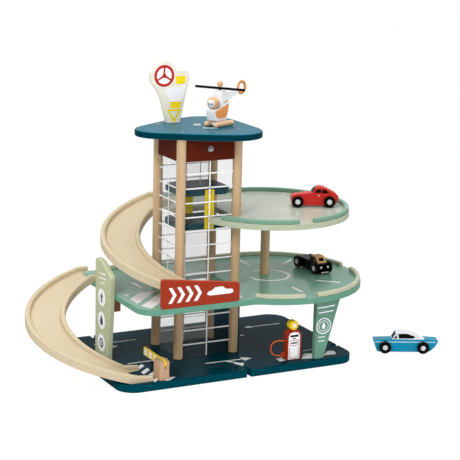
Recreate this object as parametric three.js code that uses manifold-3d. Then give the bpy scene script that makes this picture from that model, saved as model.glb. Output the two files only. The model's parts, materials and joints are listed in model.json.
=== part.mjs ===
// A wooden toy parking garage with a lift tower, two decks, two curved ramps and a landing roof.
// Millimetres, +X right, +Y back, +Z up. The origin is the centre of the base board's underside.

import * as THREE from 'three';
import { mergeVertices } from 'three/addons/utils/BufferGeometryUtils.js';
import Module from 'manifold-3d';

const wasm = await Module();
wasm.setup();

// Clearances
const gap = 0.3;
const overrun = 3;

// Base board
const baseLength = 492;
const baseDepth = 317;
const baseThick = 15;
const baseCorner = 36;
const slotWide = 8;
const slotDeep = 18;
const frontSlotShare = 0.522;
const rightSlotShare = 0.226;
const backSlotShare = 0.144;

// Lift tower
const towerX = -23.9;
const towerY = 6.3;
const postSpanX = 117.4;
const postSpanY = 100.9;
const postRadius = 9;
const towerHeight = 423;
const headerHigh = 43.5;
const headerThick = 9;
const windowThick = 2;

// Decks
const deckThick = 11;
const midDeckTop = 148;
const topDeckTop = 285;
const midLeft = -203;
const midFront = -149;
const midFrontCorner = 38;
const midBackCorner = 8;
const midDiscX = 136;
const midDiscY = -13;
const midDiscRadius = 172;
const neckShare = 0.71;
const neckBend = THREE.MathUtils.degToRad(6.6);
const topDiscX = 128;
const topDiscY = -2;
const topDiscRadius = 157;
const liftDoorGap = 3;
const deckPostX = 128;
const deckPostY = 7;

// Curbs on the decks' rims, which start and end at these shares of a full turn
const curbHigh = 8;
const curbWide = 8;
const curbInset = 1.5;
const midCurbShares = { front: [-0.3611, -0.2708], right: [-0.2461, -0.0206], back: [0.0139, 0.25] };
const midBackCurbRun = 275;
const topFrontCurbShares = [-0.4278, -0.2681];
const topRearCurbShare = -0.2361;

// Curved ramps
const rampInner = 78.5;
const rampOuter = 154;
const railWide = 9.5;
const railHigh = 11;
const rampFloorThick = 6;
const rampLip = 2;
const rampSeat = 4;
const rampFloorReach = 2;
const topRailReach = 20;
const footRailReach = 26;
const rampSteps = 26;
const lowerRampY = 6.5;
const upperRampX = -51.5;
const upperRampY = 15;

// Roof, whose outline is in shares of its length and half width
const roofThick = 12.3;
const roofLength = 229.5;
const roofHalfWidth = 112.5;
const roofTipX = -151;
const roofMidY = 7;
const roofShares = {
  sideStart: [0, 0.275], sideEnd: [0.131, 0.41], shoulder: [0.258, 0.551],
  flankPull: [0.504, 0.889], flank: [0.725, 1],
  cornerStart: [0.886, 1], cornerEnd: [1, 0.782], end: [1, 0.427],
};

// Lift car with its cord and winding shaft
const liftLength = 104;
const liftDepth = 86.6;
const liftCorner = 12;
const liftBoardThick = 12.5;
const liftFloorBottom = 261;
const liftCarHigh = 77.5;
const slatWide = 19;
const slatThick = 4;
const slatX = -20;
const slatShort = 1;
const shaftX = -25;
const shaftDrop = 21;
const shaftRadius = 3;
const drumRadius = 6;
const drumLong = 24;
const nutRadius = 4.6;
const nutLong = 6;
const nutShares = [[0.6, 0.85], [0.95, 0.4]];
const washerLong = 1.2;
const wheelRadius = 17;
const wheelThick = 9;
const pegRadius = 4;
const pegLong = 16;
const pegReach = 11;
const cordRadius = 1;

// Board signs
const frontSignLeft = -167;
const frontSignRight = -8.5;
const frontSignThick = 9;
const frontSignLeftHigh = 56;
const frontSignRightHigh = 35.5;
const signCorner = 6;
const pylonThick = 11;
const pylonBack = 48.5;
const pylonFoot = 58.5;
const pylonHigh = 190.5;
const pylonLean = 15;
const pylonShoulderHigh = 167.5;
const pylonPeak = 24;
const pylonRound = 8;
const blockLong = 20;
const blockWide = 22;
const blockHigh = 29;
const blockY = 9;
const roofSignThick = 12;
const roofSignY = 61.6;
const roofDiscX = -73;
const roofDiscHigh = 91.2;
const roofDiscRadius = 27.5;
const roofFootLeft = -65;
const roofFootRight = -38.5;
const roofWaistHigh = 40;
const roofWaistX = -76;
const roofShoulderX = -20;
const roofShoulderHigh = 100.4;
const roofShoulderRound = 13;
const discTurns = { start: THREE.MathUtils.degToRad(213), end: THREE.MathUtils.degToRad(19.5) };

// Boards under the mid deck
const propLeft = 156;
const propFoot = 19;
const propHead = 54;
const propInset = 33.5;
const propThick = 12;
const wallLeft = 82;
const wallThick = 12;
const wallInset = 9;
const wallDeep = 109;

// Barrier
const barrierRoom = 11;
const barrierWide = 18;
const barrierFront = -152;
const barrierDeep = 28;
const barrierHigh = 36;
const armOffset = 2;
const armThick = 4.5;
const armHigh = 15;
const armLong = 85;
const armPinY = -144;
const armPinHigh = 29.5;
const pinRadius = 1.5;

// Fuel pump
const pumpX = 117.5;
const pumpWide = 31;
const pumpFront = -139;
const pumpDeep = 17.5;
const pumpHigh = 58.5;
const pumpRound = 12;
const globeRadius = 9.5;
const globeLong = 15;
const globeX = 116;
const nozzleRadius = 5.3;
const nozzleLong = 9.7;
const nozzleHigh = 9.6;
const collarShare = 0.62;
const hoseRadius = 1.5;
const hoseY = -131;
const hoseSteps = 14;
const hosePoints = [
  [101.7, 52.4], [97, 53], [92, 54], [86, 54.3], [80, 53.6], [75, 51.3], [71.8, 47.8], [70.2, 43],
  [70.2, 38.5], [71.3, 34.5], [73.4, 31.3], [77, 28.3], [81, 26.2], [86, 24.9], [91.7, 24.6],
];

// Helicopter, in a frame of its own: +X is its nose, and heights count from the roof
const heliX = 17;
const heliY = 0;
const heliTurn = THREE.MathUtils.degToRad(-155.9);
const heliWide = 20;
const heliHigh = 68;
const heliNose = 28;
const heliSeatShare = 0.5;
const heliShares = [
  [0.82, 0.19], [1, 0.36], [1, 0.48], [0.95, heliSeatShare], [0.3, heliSeatShare], [0.3, 1],
  [-0.15, 1], [-0.5, 0.75], [-0.6, 0.64], [-0.45, 0.32], [-0.25, 0.19],
];
const keelLong = 30;
const keelWide = 12;
const keelHigh = 14;
const keelRaise = 3;
const boomWide = 8;
const boomShares = [[-0.11, 0.92], [-0.57, 0.63], [-0.86, 0.71]];
const boomEndHigh = 57;
const boomEndTall = 9;
const skidRadius = 5;
const skidLong = 57;
const skidSpread = 22.6;
const headRadius = 11.3;
const headX = 20.4;
const ringX = -65.5;
const ringHigh = 67.4;
const ringRadius = 13.9;
const ringBore = 8;
const ringThick = 4.4;
const rotorLong = 102;
const rotorRadius = 2.15;
const rotorTurn = THREE.MathUtils.degToRad(104.8);
const rotorLift = 3.7;
const rotorPinRadius = 2;
const rotorBall = 5.7;

// Toy cars: bearing and turn in shares of a full turn, side outlines in shares of length and height
const carBodyWide = 24;
const carWheelWide = 6.7;
const carAxleRadius = 2;
const carHubRadius = 5;
const carHubDish = 1.2;
const coupe = {
  name: 'coupe', rimRoom: 69.1, bearingShare: -0.04439, turnShare: 0.43667,
  length: 93.1, height: 40.4, wheelRadius: 11.3, rear: 0.2019, front: 0.8722,
  shares: [
    [0.081, 0.07], [0.035, 0.243], [0, 0.48], [0.013, 0.545], [0.063, 0.668], [0.16, 0.795], [0.244, 0.896],
    [0.339, 0.985], [0.407, 1], [0.467, 0.978], [0.571, 0.696], [0.78, 0.656], [0.914, 0.614], [1, 0.53],
    [0.997, 0.322], [0.981, 0.07],
  ],
};
const pickup = {
  name: 'pickup', rimRoom: 74.61, bearingShare: 0.01752, turnShare: -0.24139,
  length: 87.7, height: 33.8, wheelRadius: 12, rear: 0.1448, front: 0.8472,
  shares: [
    [0.03, 0.1], [0, 0.3], [0, 0.62], [0.015, 0.66], [0.48, 0.66], [0.9, 0.62], [0.94, 0.57], [0.975, 0.42],
    [1, 0.22], [0.99, 0.09],
  ],
};
const saloon = {
  name: 'saloon', standOff: 122.5, y: -135, turnShare: -0.07083,
  length: 128.4, height: 42, wheelRadius: 12, rear: 0.1807, front: 0.7664,
  shares: [
    [0.096, 0.057], [0.059, 0.095], [0, 0.62], [0.287, 0.66], [0.348, 0.976], [0.395, 1], [0.514, 0.998],
    [0.611, 0.929], [0.671, 0.807], [0.7235, 0.69], [0.981, 0.643], [1, 0.59], [0.998, 0.555], [0.954, 0.31],
    [0.886, 0.119], [0.84, 0.06],
  ],
};
const cabShares = [[0.5, 0.669], [0.53, 0.93], [0.565, 1], [0.74, 1], [0.775, 0.96], [0.893, 0.6315]];
const cabWidthShare = 0.88;

// Roundness
const postSides = 20;
const smallSides = 16;
const cordSides = 8;
const arcSteps = 8;
const rimSteps = 24;

// Places worked out from the sizes above
const postLeft = towerX - postSpanX / 2;
const postRight = towerX + postSpanX / 2;
const postFront = towerY - postSpanY / 2;
const postBack = towerY + postSpanY / 2;
const roofUnder = baseThick + towerHeight;
const roofTop = roofUnder + roofThick;
const headerUnder = roofUnder - headerHigh;
const liftRight = towerX + liftLength / 2;
const cutLeft = postLeft - windowThick / 2 - gap;
const cutRight = liftRight + liftDoorGap;
const cutFront = postFront - windowThick / 2 - gap;
const cutBack = postBack + windowThick / 2 + gap;
const midBack = midDiscY + midDiscRadius;
const lowerRampX = midLeft - rampSeat;
const walkEnd = upperRampX + rampSeat;
const walkBack = upperRampY + rampOuter;
const shaftZ = roofUnder - shaftDrop;
const pylonRight = midLeft - gap;
const propFront = midDiscY - midDiscRadius + propInset;
const wallFront = midBack - wallInset - wallDeep;
const barrierX = lowerRampX + footRailReach + barrierRoom + barrierWide / 2;
const armX = barrierX + armOffset;
const fullTurn = 2 * Math.PI;

const garage = new THREE.Group();
garage.name = 'garage';

// Looks
const looks = {
  beech: [0xcdab85, 0.6], ramp: [0xdeceac, 0.55], teal: [0x004452, 0.45], roof: [0x46829a, 0.4],
  mint: [0x6eaa91, 0.45], sage: [0xb9c39b, 0.45], sea: [0x7da591, 0.45],
  brick: [0x963a1c, 0.5], red: [0xb04024, 0.45], yellow: [0xe6cd23, 0.4], petrol: [0x1e4b5a, 0.45],
  cream: [0xeee6cc, 0.5], block: [0xbe9b7d, 0.65], brown: [0x7a4634, 0.6], white: [0xf0f0ee, 0.5],
  carRed: [0xc82d28, 0.35], black: [0x15161a, 0.45], blue: [0x0082a5, 0.35], orange: [0xeb9646, 0.5],
  hose: [0xc85a28, 0.5], cord: [0xe8e4da, 0.9],
};

function material(look) {
  const steel = { color: 0xb8bcc0, roughness: 0.3, metalness: 1 };
  if (look === 'steel') return new THREE.MeshStandardMaterial(steel);
  if (look === 'clear') {
    const sheet = new THREE.MeshStandardMaterial({ color: 0xe8eef0, roughness: 0.1, metalness: 0 });
    sheet.transparent = true;
    sheet.opacity = 0.35;
    return sheet;
  }
  const [color, roughness] = looks[look];
  return new THREE.MeshStandardMaterial({ color, roughness, metalness: 0 });
}

function addPiece(name, geometry, look, place = [0, 0, 0], parent = garage) {
  const mesh = new THREE.Mesh(geometry, material(look));
  mesh.name = name;
  mesh.position.set(...place);
  parent.add(mesh);
  return mesh;
}

// Solids for cutting and joining
function solidOf(geometry) {
  const bare = geometry.clone();
  bare.deleteAttribute('normal');
  bare.deleteAttribute('uv');
  const welded = mergeVertices(bare);
  const triVerts = Uint32Array.from(welded.index.array);
  const vertProperties = welded.attributes.position.array;
  return new wasm.Manifold(new wasm.Mesh({ numProp: 3, vertProperties, triVerts }));
}

function geometryOf(solid) {
  const mesh = solid.getMesh();
  const geometry = new THREE.BufferGeometry();
  geometry.setAttribute('position', new THREE.BufferAttribute(mesh.vertProperties, 3));
  geometry.setIndex(new THREE.BufferAttribute(mesh.triVerts, 1));
  return geometry;
}

function cutBy(geometry, cutters) {
  return geometryOf(cutters.reduce((solid, cutter) => solid.subtract(solidOf(cutter)), solidOf(geometry)));
}

function joined(geometries) {
  const [first, ...rest] = geometries.map(solidOf);
  return geometryOf(rest.reduce((solid, other) => solid.add(other), first));
}

// Basic shapes
function plate(shape, thick, steps = arcSteps) {
  return new THREE.ExtrudeGeometry(shape, { depth: thick, bevelEnabled: false, curveSegments: steps });
}

// A side outline in X and Z, as thick as asked, standing with its front face at y
function standingAcross(shape, thick, y, steps = arcSteps) {
  const geometry = plate(shape, thick, steps);
  geometry.rotateX(Math.PI / 2);
  return geometry.translate(0, y + thick, 0);
}

// A side outline in Y and Z, as thick as asked, with its left face at x
function standingAlong(shape, thick, x, steps = arcSteps) {
  const turn = new THREE.Matrix4().makeBasis(
    new THREE.Vector3(0, 1, 0), new THREE.Vector3(0, 0, 1), new THREE.Vector3(1, 0, 0));
  return plate(shape, thick, steps).applyMatrix4(turn).translate(x, 0, 0);
}

function box(low, high) {
  const size = high.map((value, axis) => value - low[axis]);
  const middle = high.map((value, axis) => (value + low[axis]) / 2);
  return new THREE.BoxGeometry(...size).translate(...middle);
}

function rodUp(radius, from, to, x, y, sides = postSides) {
  const geometry = new THREE.CylinderGeometry(radius, radius, to - from, sides);
  return geometry.rotateX(Math.PI / 2).translate(x, y, (from + to) / 2);
}

function rodAlongX(radius, from, to, y, z, sides = smallSides) {
  const geometry = new THREE.CylinderGeometry(radius, radius, to - from, sides);
  return geometry.rotateZ(Math.PI / 2).translate((from + to) / 2, y, z);
}

function rodAlongY(radius, from, to, x, z, sides = smallSides) {
  const geometry = new THREE.CylinderGeometry(radius, radius, to - from, sides);
  return geometry.translate(x, (from + to) / 2, z);
}

function polygon(points) {
  return new THREE.Shape(points.map(([x, y]) => new THREE.Vector2(x, y)));
}

// A polygon whose corners are rounded by the radius given with each point
function roundedPolygon(corners) {
  const shape = new THREE.Shape();
  corners.forEach(([x, y, radius], index) => {
    const here = new THREE.Vector2(x, y);
    const before = new THREE.Vector2(...corners[(index + corners.length - 1) % corners.length]);
    const after = new THREE.Vector2(...corners[(index + 1) % corners.length]);
    const start = before.sub(here).setLength(radius).add(here);
    const end = after.sub(here).setLength(radius).add(here);
    if (index === 0) shape.moveTo(start.x, start.y);
    else shape.lineTo(start.x, start.y);
    shape.quadraticCurveTo(x, y, end.x, end.y);
  });
  shape.closePath();
  return shape;
}

function roundedRectangle(left, right, low, high, radius) {
  const shape = new THREE.Shape();
  shape.absarc(right - radius, high - radius, radius, 0, Math.PI / 2);
  shape.absarc(left + radius, high - radius, radius, Math.PI / 2, Math.PI);
  shape.absarc(left + radius, low + radius, radius, Math.PI, Math.PI * 1.5);
  shape.absarc(right - radius, low + radius, radius, Math.PI * 1.5, Math.PI * 2);
  shape.closePath();
  return shape;
}

// A slot's cutter: it starts past the edge and ends in a half round
function slotCutter(x, y, inward) {
  const half = slotWide / 2;
  const across = new THREE.Vector2(-inward.y, inward.x);
  const reach = slotDeep - half;
  const corner = (along, side) => inward.clone().multiplyScalar(along).addScaledVector(across, side);
  const shape = new THREE.Shape();
  const points = [corner(-overrun, -half), corner(reach, -half), corner(reach, half), corner(-overrun, half)];
  shape.setFromPoints(points);
  const board = plate(shape, baseThick + 2 * overrun).translate(x, y, -overrun);
  const end = corner(reach, 0);
  const round = rodUp(half, -overrun, baseThick + overrun, x + end.x, y + end.y, smallSides);
  return geometryOf(solidOf(board).add(solidOf(round)));
}

function addBase() {
  const halfLong = baseLength / 2;
  const halfDeep = baseDepth / 2;
  const board = plate(roundedRectangle(-halfLong, halfLong, -halfDeep, halfDeep, baseCorner), baseThick);
  const cutters = [
    slotCutter(baseLength * frontSlotShare - halfLong, -halfDeep, new THREE.Vector2(0, 1)),
    slotCutter(halfLong, baseDepth * rightSlotShare - halfDeep, new THREE.Vector2(-1, 0)),
    slotCutter(baseLength * backSlotShare - halfLong, halfDeep, new THREE.Vector2(0, -1)),
  ];
  addPiece('base_board', cutBy(board, cutters), 'teal');
}

function postPlaces() {
  return [[postLeft, postFront], [postRight, postFront], [postRight, postBack], [postLeft, postBack]];
}

function postCutters(from, to) {
  return postPlaces().map(([x, y]) => rodUp(postRadius + gap, from, to, x, y));
}

function addTower() {
  postPlaces().forEach(([x, y], index) => {
    addPiece(`tower_post_${index + 1}`, rodUp(postRadius, baseThick, roofUnder, x, y), 'beech');
  });
  const left = postLeft + postRadius + gap;
  const right = postRight - postRadius - gap;
  const front = postFront + postRadius + gap;
  const back = postBack - postRadius - gap;
  const across = (y, thick, low, high) => box([left, y - thick / 2, low], [right, y + thick / 2, high]);
  const along = (x, thick, low, high) => box([x - thick / 2, front, low], [x + thick / 2, back, high]);
  const hole = rodAlongY(shaftRadius + gap, postFront - postRadius, postBack + postRadius, shaftX, shaftZ);
  const frontBoard = across(postFront, headerThick, headerUnder, roofUnder);
  const backBoard = across(postBack, headerThick, headerUnder, roofUnder);
  addPiece('header_front', cutBy(frontBoard, [hole]), 'brick');
  addPiece('header_back', cutBy(backBoard, [hole]), 'brick');
  addPiece('header_left', along(postLeft, headerThick, headerUnder, roofUnder), 'brick');
  addPiece('header_right', along(postRight, headerThick, headerUnder, roofUnder), 'brick');
  addPiece('window_front', across(postFront, windowThick, baseThick, headerUnder), 'clear');
  addPiece('window_back', across(postBack, windowThick, baseThick, headerUnder), 'clear');
  addPiece('window_left', along(postLeft, windowThick, baseThick, headerUnder), 'clear');
}

function midDeckShape() {
  const shape = new THREE.Shape();
  const neckTurn = Math.PI - Math.asin((midDiscY - midFront) / midDiscRadius) - neckBend;
  const turnX = midDiscX + midDiscRadius * Math.cos(-neckTurn);
  const turnY = midDiscY + midDiscRadius * Math.sin(-neckTurn);
  const rimX = midDiscX - Math.sqrt(midDiscRadius ** 2 - (midFront - midDiscY) ** 2);
  const neckX = rimX - (turnX - rimX) * neckShare;
  shape.moveTo(midLeft + midFrontCorner, midFront);
  shape.lineTo(neckX, midFront);
  shape.quadraticCurveTo(rimX, midFront, turnX, turnY);
  shape.absarc(midDiscX, midDiscY, midDiscRadius, -neckTurn, Math.PI / 2);
  shape.lineTo(midLeft + midBackCorner, midBack);
  shape.absarc(midLeft + midBackCorner, midBack - midBackCorner, midBackCorner, Math.PI / 2, Math.PI);
  shape.absarc(midLeft + midFrontCorner, midFront + midFrontCorner, midFrontCorner, Math.PI, Math.PI * 1.5);
  return shape;
}

// The angle on the top disc where the walkway's straight back edge leaves it
function walkwayTurn() {
  const toEnd = new THREE.Vector2(walkEnd - topDiscX, walkBack - topDiscY);
  return Math.atan2(toEnd.y, toEnd.x) - Math.acos(topDiscRadius / toEnd.length());
}

function walkwayRun() {
  const toEnd = new THREE.Vector2(walkEnd - topDiscX, walkBack - topDiscY);
  return Math.sqrt(toEnd.lengthSq() - topDiscRadius ** 2);
}

function topDeckShape() {
  const shape = new THREE.Shape();
  const start = -Math.PI - Math.asin((cutFront - topDiscY) / topDiscRadius);
  shape.absarc(topDiscX, topDiscY, topDiscRadius, start, walkwayTurn());
  shape.lineTo(walkEnd, walkBack);
  shape.lineTo(walkEnd, cutBack);
  shape.lineTo(cutRight, cutBack);
  shape.lineTo(cutRight, cutFront);
  shape.closePath();
  return shape;
}

function addDecks() {
  const midUnder = midDeckTop - deckThick;
  const topUnder = topDeckTop - deckThick;
  const mid = plate(midDeckShape(), deckThick, rimSteps).translate(0, 0, midUnder);
  const midCutters = postCutters(midUnder - overrun, midDeckTop + overrun);
  midCutters.push(box([cutLeft, cutFront, midUnder - overrun], [cutRight, cutBack, midDeckTop + overrun]));
  const top = plate(topDeckShape(), deckThick, rimSteps).translate(0, 0, topUnder);
  addPiece('mid_deck', cutBy(mid, midCutters), 'mint');
  addPiece('top_deck', cutBy(top, postCutters(topUnder - overrun, topDeckTop + overrun)), 'sage');
  addPiece('deck_post', rodUp(postRadius, midDeckTop, topUnder, deckPostX, deckPostY), 'beech');
}

// A curb that follows a disc's rim and may run on straight from its last angle
function curbShape(x, y, radius, from, to, run = 0) {
  const outer = radius - curbInset;
  const inner = outer - curbWide;
  const along = [-Math.sin(to) * run, Math.cos(to) * run];
  const shape = new THREE.Shape();
  shape.absarc(x, y, outer, from, to);
  if (run > 0) {
    shape.lineTo(x + outer * Math.cos(to) + along[0], y + outer * Math.sin(to) + along[1]);
    shape.lineTo(x + inner * Math.cos(to) + along[0], y + inner * Math.sin(to) + along[1]);
  }
  shape.absarc(x, y, inner, to, from, true);
  shape.closePath();
  return shape;
}

function addCurbs() {
  const addMid = (name, [from, to], run) => {
    const shape = curbShape(midDiscX, midDiscY, midDiscRadius, from * fullTurn, to * fullTurn, run);
    addPiece(name, plate(shape, curbHigh, rimSteps / 2).translate(0, 0, midDeckTop), 'sage');
  };
  addMid('mid_curb_front', midCurbShares.front);
  addMid('mid_curb_right', midCurbShares.right);
  addMid('mid_curb_back', midCurbShares.back, midBackCurbRun);
  const addTop = (name, from, to, run) => {
    const shape = curbShape(topDiscX, topDiscY, topDiscRadius, from * fullTurn, to, run);
    addPiece(name, plate(shape, curbHigh, rimSteps / 2).translate(0, 0, topDeckTop), 'sea');
  };
  const [frontStart, frontEnd] = topFrontCurbShares;
  addTop('top_curb_front', frontStart, frontEnd * fullTurn);
  addTop('top_curb_rear', topRearCurbShare, walkwayTurn(), walkwayRun() - topRailReach);
}

// The ramp's channel section: distance from the arc's centre, height above the ramp's floor
function rampSection() {
  const under = -rampFloorThick;
  return [
    [rampInner, under], [rampOuter, under], [rampOuter, railHigh], [rampOuter - railWide, railHigh],
    [rampOuter - railWide, 0], [rampInner + railWide, 0], [rampInner + railWide, railHigh],
    [rampInner, railHigh],
  ];
}

// Stations from the ramp's head at the back, round the left, to its foot at the front
function rampStations(high, low) {
  const stations = [{ turn: Math.PI / 2, shift: topRailReach, floor: high }];
  for (let step = 0; step <= rampSteps; step += 1) {
    const share = step / rampSteps;
    const floor = high + (low + rampLip - high) * share;
    stations.push({ turn: Math.PI * (0.5 + share), shift: 0, floor });
  }
  stations.push({ turn: Math.PI * 1.5, shift: footRailReach, floor: low + rampLip });
  return stations;
}

function rampGeometry(x, y, high, low) {
  const section = rampSection();
  const stations = rampStations(high, low);
  const points = stations.flatMap(({ turn, shift, floor }) => section.map(([reach, rise]) => [
    x + shift + reach * Math.cos(turn), y + reach * Math.sin(turn), floor + rise]));
  const count = section.length;
  const faces = [];
  for (let row = 0; row < stations.length - 1; row += 1) {
    for (let side = 0; side < count; side += 1) {
      const a = row * count + side;
      const b = row * count + (side + 1) % count;
      faces.push(a, b + count, b, a, a + count, b + count);
    }
  }
  const cap = THREE.ShapeUtils.triangulateShape(section.map(([u, v]) => new THREE.Vector2(u, v)), []);
  const last = (stations.length - 1) * count;
  cap.forEach(([a, b, c]) => faces.push(a, b, c, last + a, last + c, last + b));
  const geometry = new THREE.BufferGeometry();
  geometry.setAttribute('position', new THREE.Float32BufferAttribute(points.flat(), 3));
  geometry.setIndex(faces);
  return geometry;
}

function addRamp(name, x, y, high, low) {
  const groundLow = low - rampOuter;
  const left = x - rampOuter - overrun;
  const right = x + rampOuter;
  const deckCut = box([x + rampSeat - gap, y, high - rampOuter], [right, y + 2 * rampOuter, high + gap]);
  const groundCut = box([left, y - 2 * rampOuter, groundLow], [right, y, low + gap]);
  const footLow = y - rampOuter + railWide;
  const footHigh = y - rampInner - railWide;
  const footCut = box([x + rampFloorReach, footLow, groundLow], [right, footHigh, low + rampLip + gap]);
  addPiece(name, cutBy(rampGeometry(x, y, high, low), [deckCut, groundCut, footCut]), 'ramp');
}

function roofPoint([along, aside], side) {
  return [roofTipX + roofLength * along, roofMidY + side * roofHalfWidth * aside];
}

function roofShape() {
  const at = (key, side) => roofPoint(roofShares[key], side);
  const shape = new THREE.Shape();
  shape.moveTo(roofTipX, roofMidY);
  shape.bezierCurveTo(...at('sideStart', -1), ...at('sideEnd', -1), ...at('shoulder', -1));
  shape.quadraticCurveTo(...at('flankPull', -1), ...at('flank', -1));
  shape.bezierCurveTo(...at('cornerStart', -1), ...at('cornerEnd', -1), ...at('end', -1));
  shape.lineTo(...at('end', 1));
  shape.bezierCurveTo(...at('cornerEnd', 1), ...at('cornerStart', 1), ...at('flank', 1));
  shape.quadraticCurveTo(...at('flankPull', 1), ...at('shoulder', 1));
  shape.bezierCurveTo(...at('sideEnd', 1), ...at('sideStart', 1), roofTipX, roofMidY);
  return shape;
}

function addRoof() {
  addPiece('roof_deck', plate(roofShape(), roofThick, arcSteps).translate(0, 0, roofUnder), 'roof');
}

function liftBoard(low) {
  const left = towerX - liftLength / 2;
  const front = towerY - liftDepth / 2;
  const back = towerY + liftDepth / 2;
  const cut = liftCorner;
  const shape = polygon([
    [left + cut, front], [liftRight - cut, front], [liftRight, front + cut], [liftRight, back - cut],
    [liftRight - cut, back], [left + cut, back], [left, back - cut], [left, front + cut],
  ]);
  return plate(shape, liftBoardThick).translate(0, 0, low);
}

function addLift() {
  const top = liftFloorBottom + liftCarHigh;
  const front = towerY - liftDepth / 2;
  const back = towerY + liftDepth / 2;
  const slat = (y) => box(
    [slatX - slatWide / 2, y, liftFloorBottom], [slatX + slatWide / 2, y + slatThick, top - slatShort]);
  addPiece('lift_floor', liftBoard(liftFloorBottom), 'petrol');
  addPiece('lift_ceiling', liftBoard(top - liftBoardThick), 'petrol');
  addPiece('lift_slat_front', slat(front - slatThick), 'yellow');
  addPiece('lift_slat_back', slat(back), 'yellow');
  const cordX = shaftX + drumRadius + gap + cordRadius;
  addPiece('lift_cord', rodUp(cordRadius, top + gap, shaftZ, cordX, towerY, cordSides), 'cord');
}

// A turned piece about an axis along Y, from [radius, y] points
function turnedAlongY(points, sides = smallSides) {
  return new THREE.LatheGeometry(points.map(([radius, y]) => new THREE.Vector2(radius, y)), sides);
}

function addWinder() {
  const frontFace = postFront - headerThick / 2;
  const backFace = postBack + headerThick / 2;
  const wheelFront = backFace + washerLong;
  const wheelBack = wheelFront + wheelThick;
  const nutFront = frontFace - gap - washerLong;
  const nut = nutShares.map(([out, along]) => [nutRadius * out, nutFront - nutLong * along]);
  const washerRadius = nutRadius + washerLong;
  const drumFront = towerY - drumLong / 2;
  const drumBack = towerY + drumLong / 2;
  const shaft = turnedAlongY([
    [0, nutFront - nutLong], ...nut, [nutRadius, nutFront],
    [washerRadius, nutFront], [washerRadius, frontFace - gap], [shaftRadius, frontFace - gap],
    [shaftRadius, drumFront], [drumRadius, drumFront], [drumRadius, drumBack], [shaftRadius, drumBack],
    [shaftRadius, wheelBack], [0, wheelBack],
  ]);
  addPiece('winding_shaft', shaft, 'steel', [shaftX, 0, shaftZ]);
  const bore = shaftRadius + gap;
  const wheel = turnedAlongY([
    [bore, wheelFront], [wheelRadius, wheelFront], [wheelRadius, wheelBack], [bore, wheelBack],
    [bore, wheelFront],
  ], postSides);
  addPiece('winding_wheel', wheel, 'beech', [shaftX, 0, shaftZ]);
  const peg = rodAlongY(pegRadius, wheelBack, wheelBack + pegLong, shaftX, shaftZ - pegReach);
  addPiece('winding_peg', peg, 'beech');
}

function addFrontSign() {
  const shape = roundedPolygon([
    [frontSignLeft, midDeckTop, signCorner], [frontSignRight, midDeckTop, signCorner],
    [frontSignRight, midDeckTop + frontSignRightHigh, signCorner],
    [frontSignLeft, midDeckTop + frontSignLeftHigh, signCorner],
  ]);
  addPiece('front_sign', standingAcross(shape, frontSignThick, midFront + gap), 'red');
}

function addPylon() {
  const front = pylonBack - pylonFoot;
  const shape = roundedPolygon([
    [front, baseThick, 0], [pylonBack, baseThick, 0], [pylonBack, baseThick + pylonHigh, pylonRound],
    [pylonBack - pylonPeak, baseThick + pylonHigh, pylonRound],
    [front - pylonLean, baseThick + pylonShoulderHigh, pylonRound],
  ]);
  addPiece('pylon_sign', standingAlong(shape, pylonThick, pylonRight - pylonThick), 'sage');
  const blockTop = midDeckTop - deckThick;
  addPiece('pylon_block', box(
    [pylonRight, blockY - blockWide / 2, blockTop - blockHigh],
    [pylonRight + blockLong, blockY + blockWide / 2, blockTop]), 'brown');
}

function roofSignShape() {
  const shape = new THREE.Shape();
  const discZ = roofTop + roofDiscHigh;
  const arcStart = [
    roofDiscX + roofDiscRadius * Math.cos(discTurns.start),
    discZ + roofDiscRadius * Math.sin(discTurns.start),
  ];
  shape.moveTo(roofFootLeft, roofTop);
  shape.lineTo(roofWaistX, roofTop + roofWaistHigh);
  shape.quadraticCurveTo(roofWaistX - roofShoulderRound / 2, discZ - roofDiscRadius, ...arcStart);
  shape.absarc(roofDiscX, discZ, roofDiscRadius, discTurns.start, discTurns.end, true);
  shape.lineTo(roofShoulderX - roofShoulderRound, roofTop + roofShoulderHigh);
  shape.quadraticCurveTo(
    roofShoulderX, roofTop + roofShoulderHigh, roofShoulderX, roofTop + roofShoulderHigh - roofShoulderRound);
  shape.lineTo(roofFootRight, roofTop);
  shape.closePath();
  return shape;
}

function addRoofSign() {
  const front = roofSignY - roofSignThick / 2;
  addPiece('roof_sign', standingAcross(roofSignShape(), roofSignThick, front), 'cream');
}

function addUnderDeckBoards() {
  const top = midDeckTop - deckThick;
  const prop = polygon([
    [propLeft, baseThick], [propLeft + propFoot, baseThick], [propLeft + propHead, top], [propLeft, top]]);
  addPiece('front_prop', standingAcross(prop, propThick, propFront), 'mint');
  const wall = box([wallLeft, wallFront, baseThick], [wallLeft + wallThick, wallFront + wallDeep, top]);
  addPiece('rear_wall', wall, 'teal');
}

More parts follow.
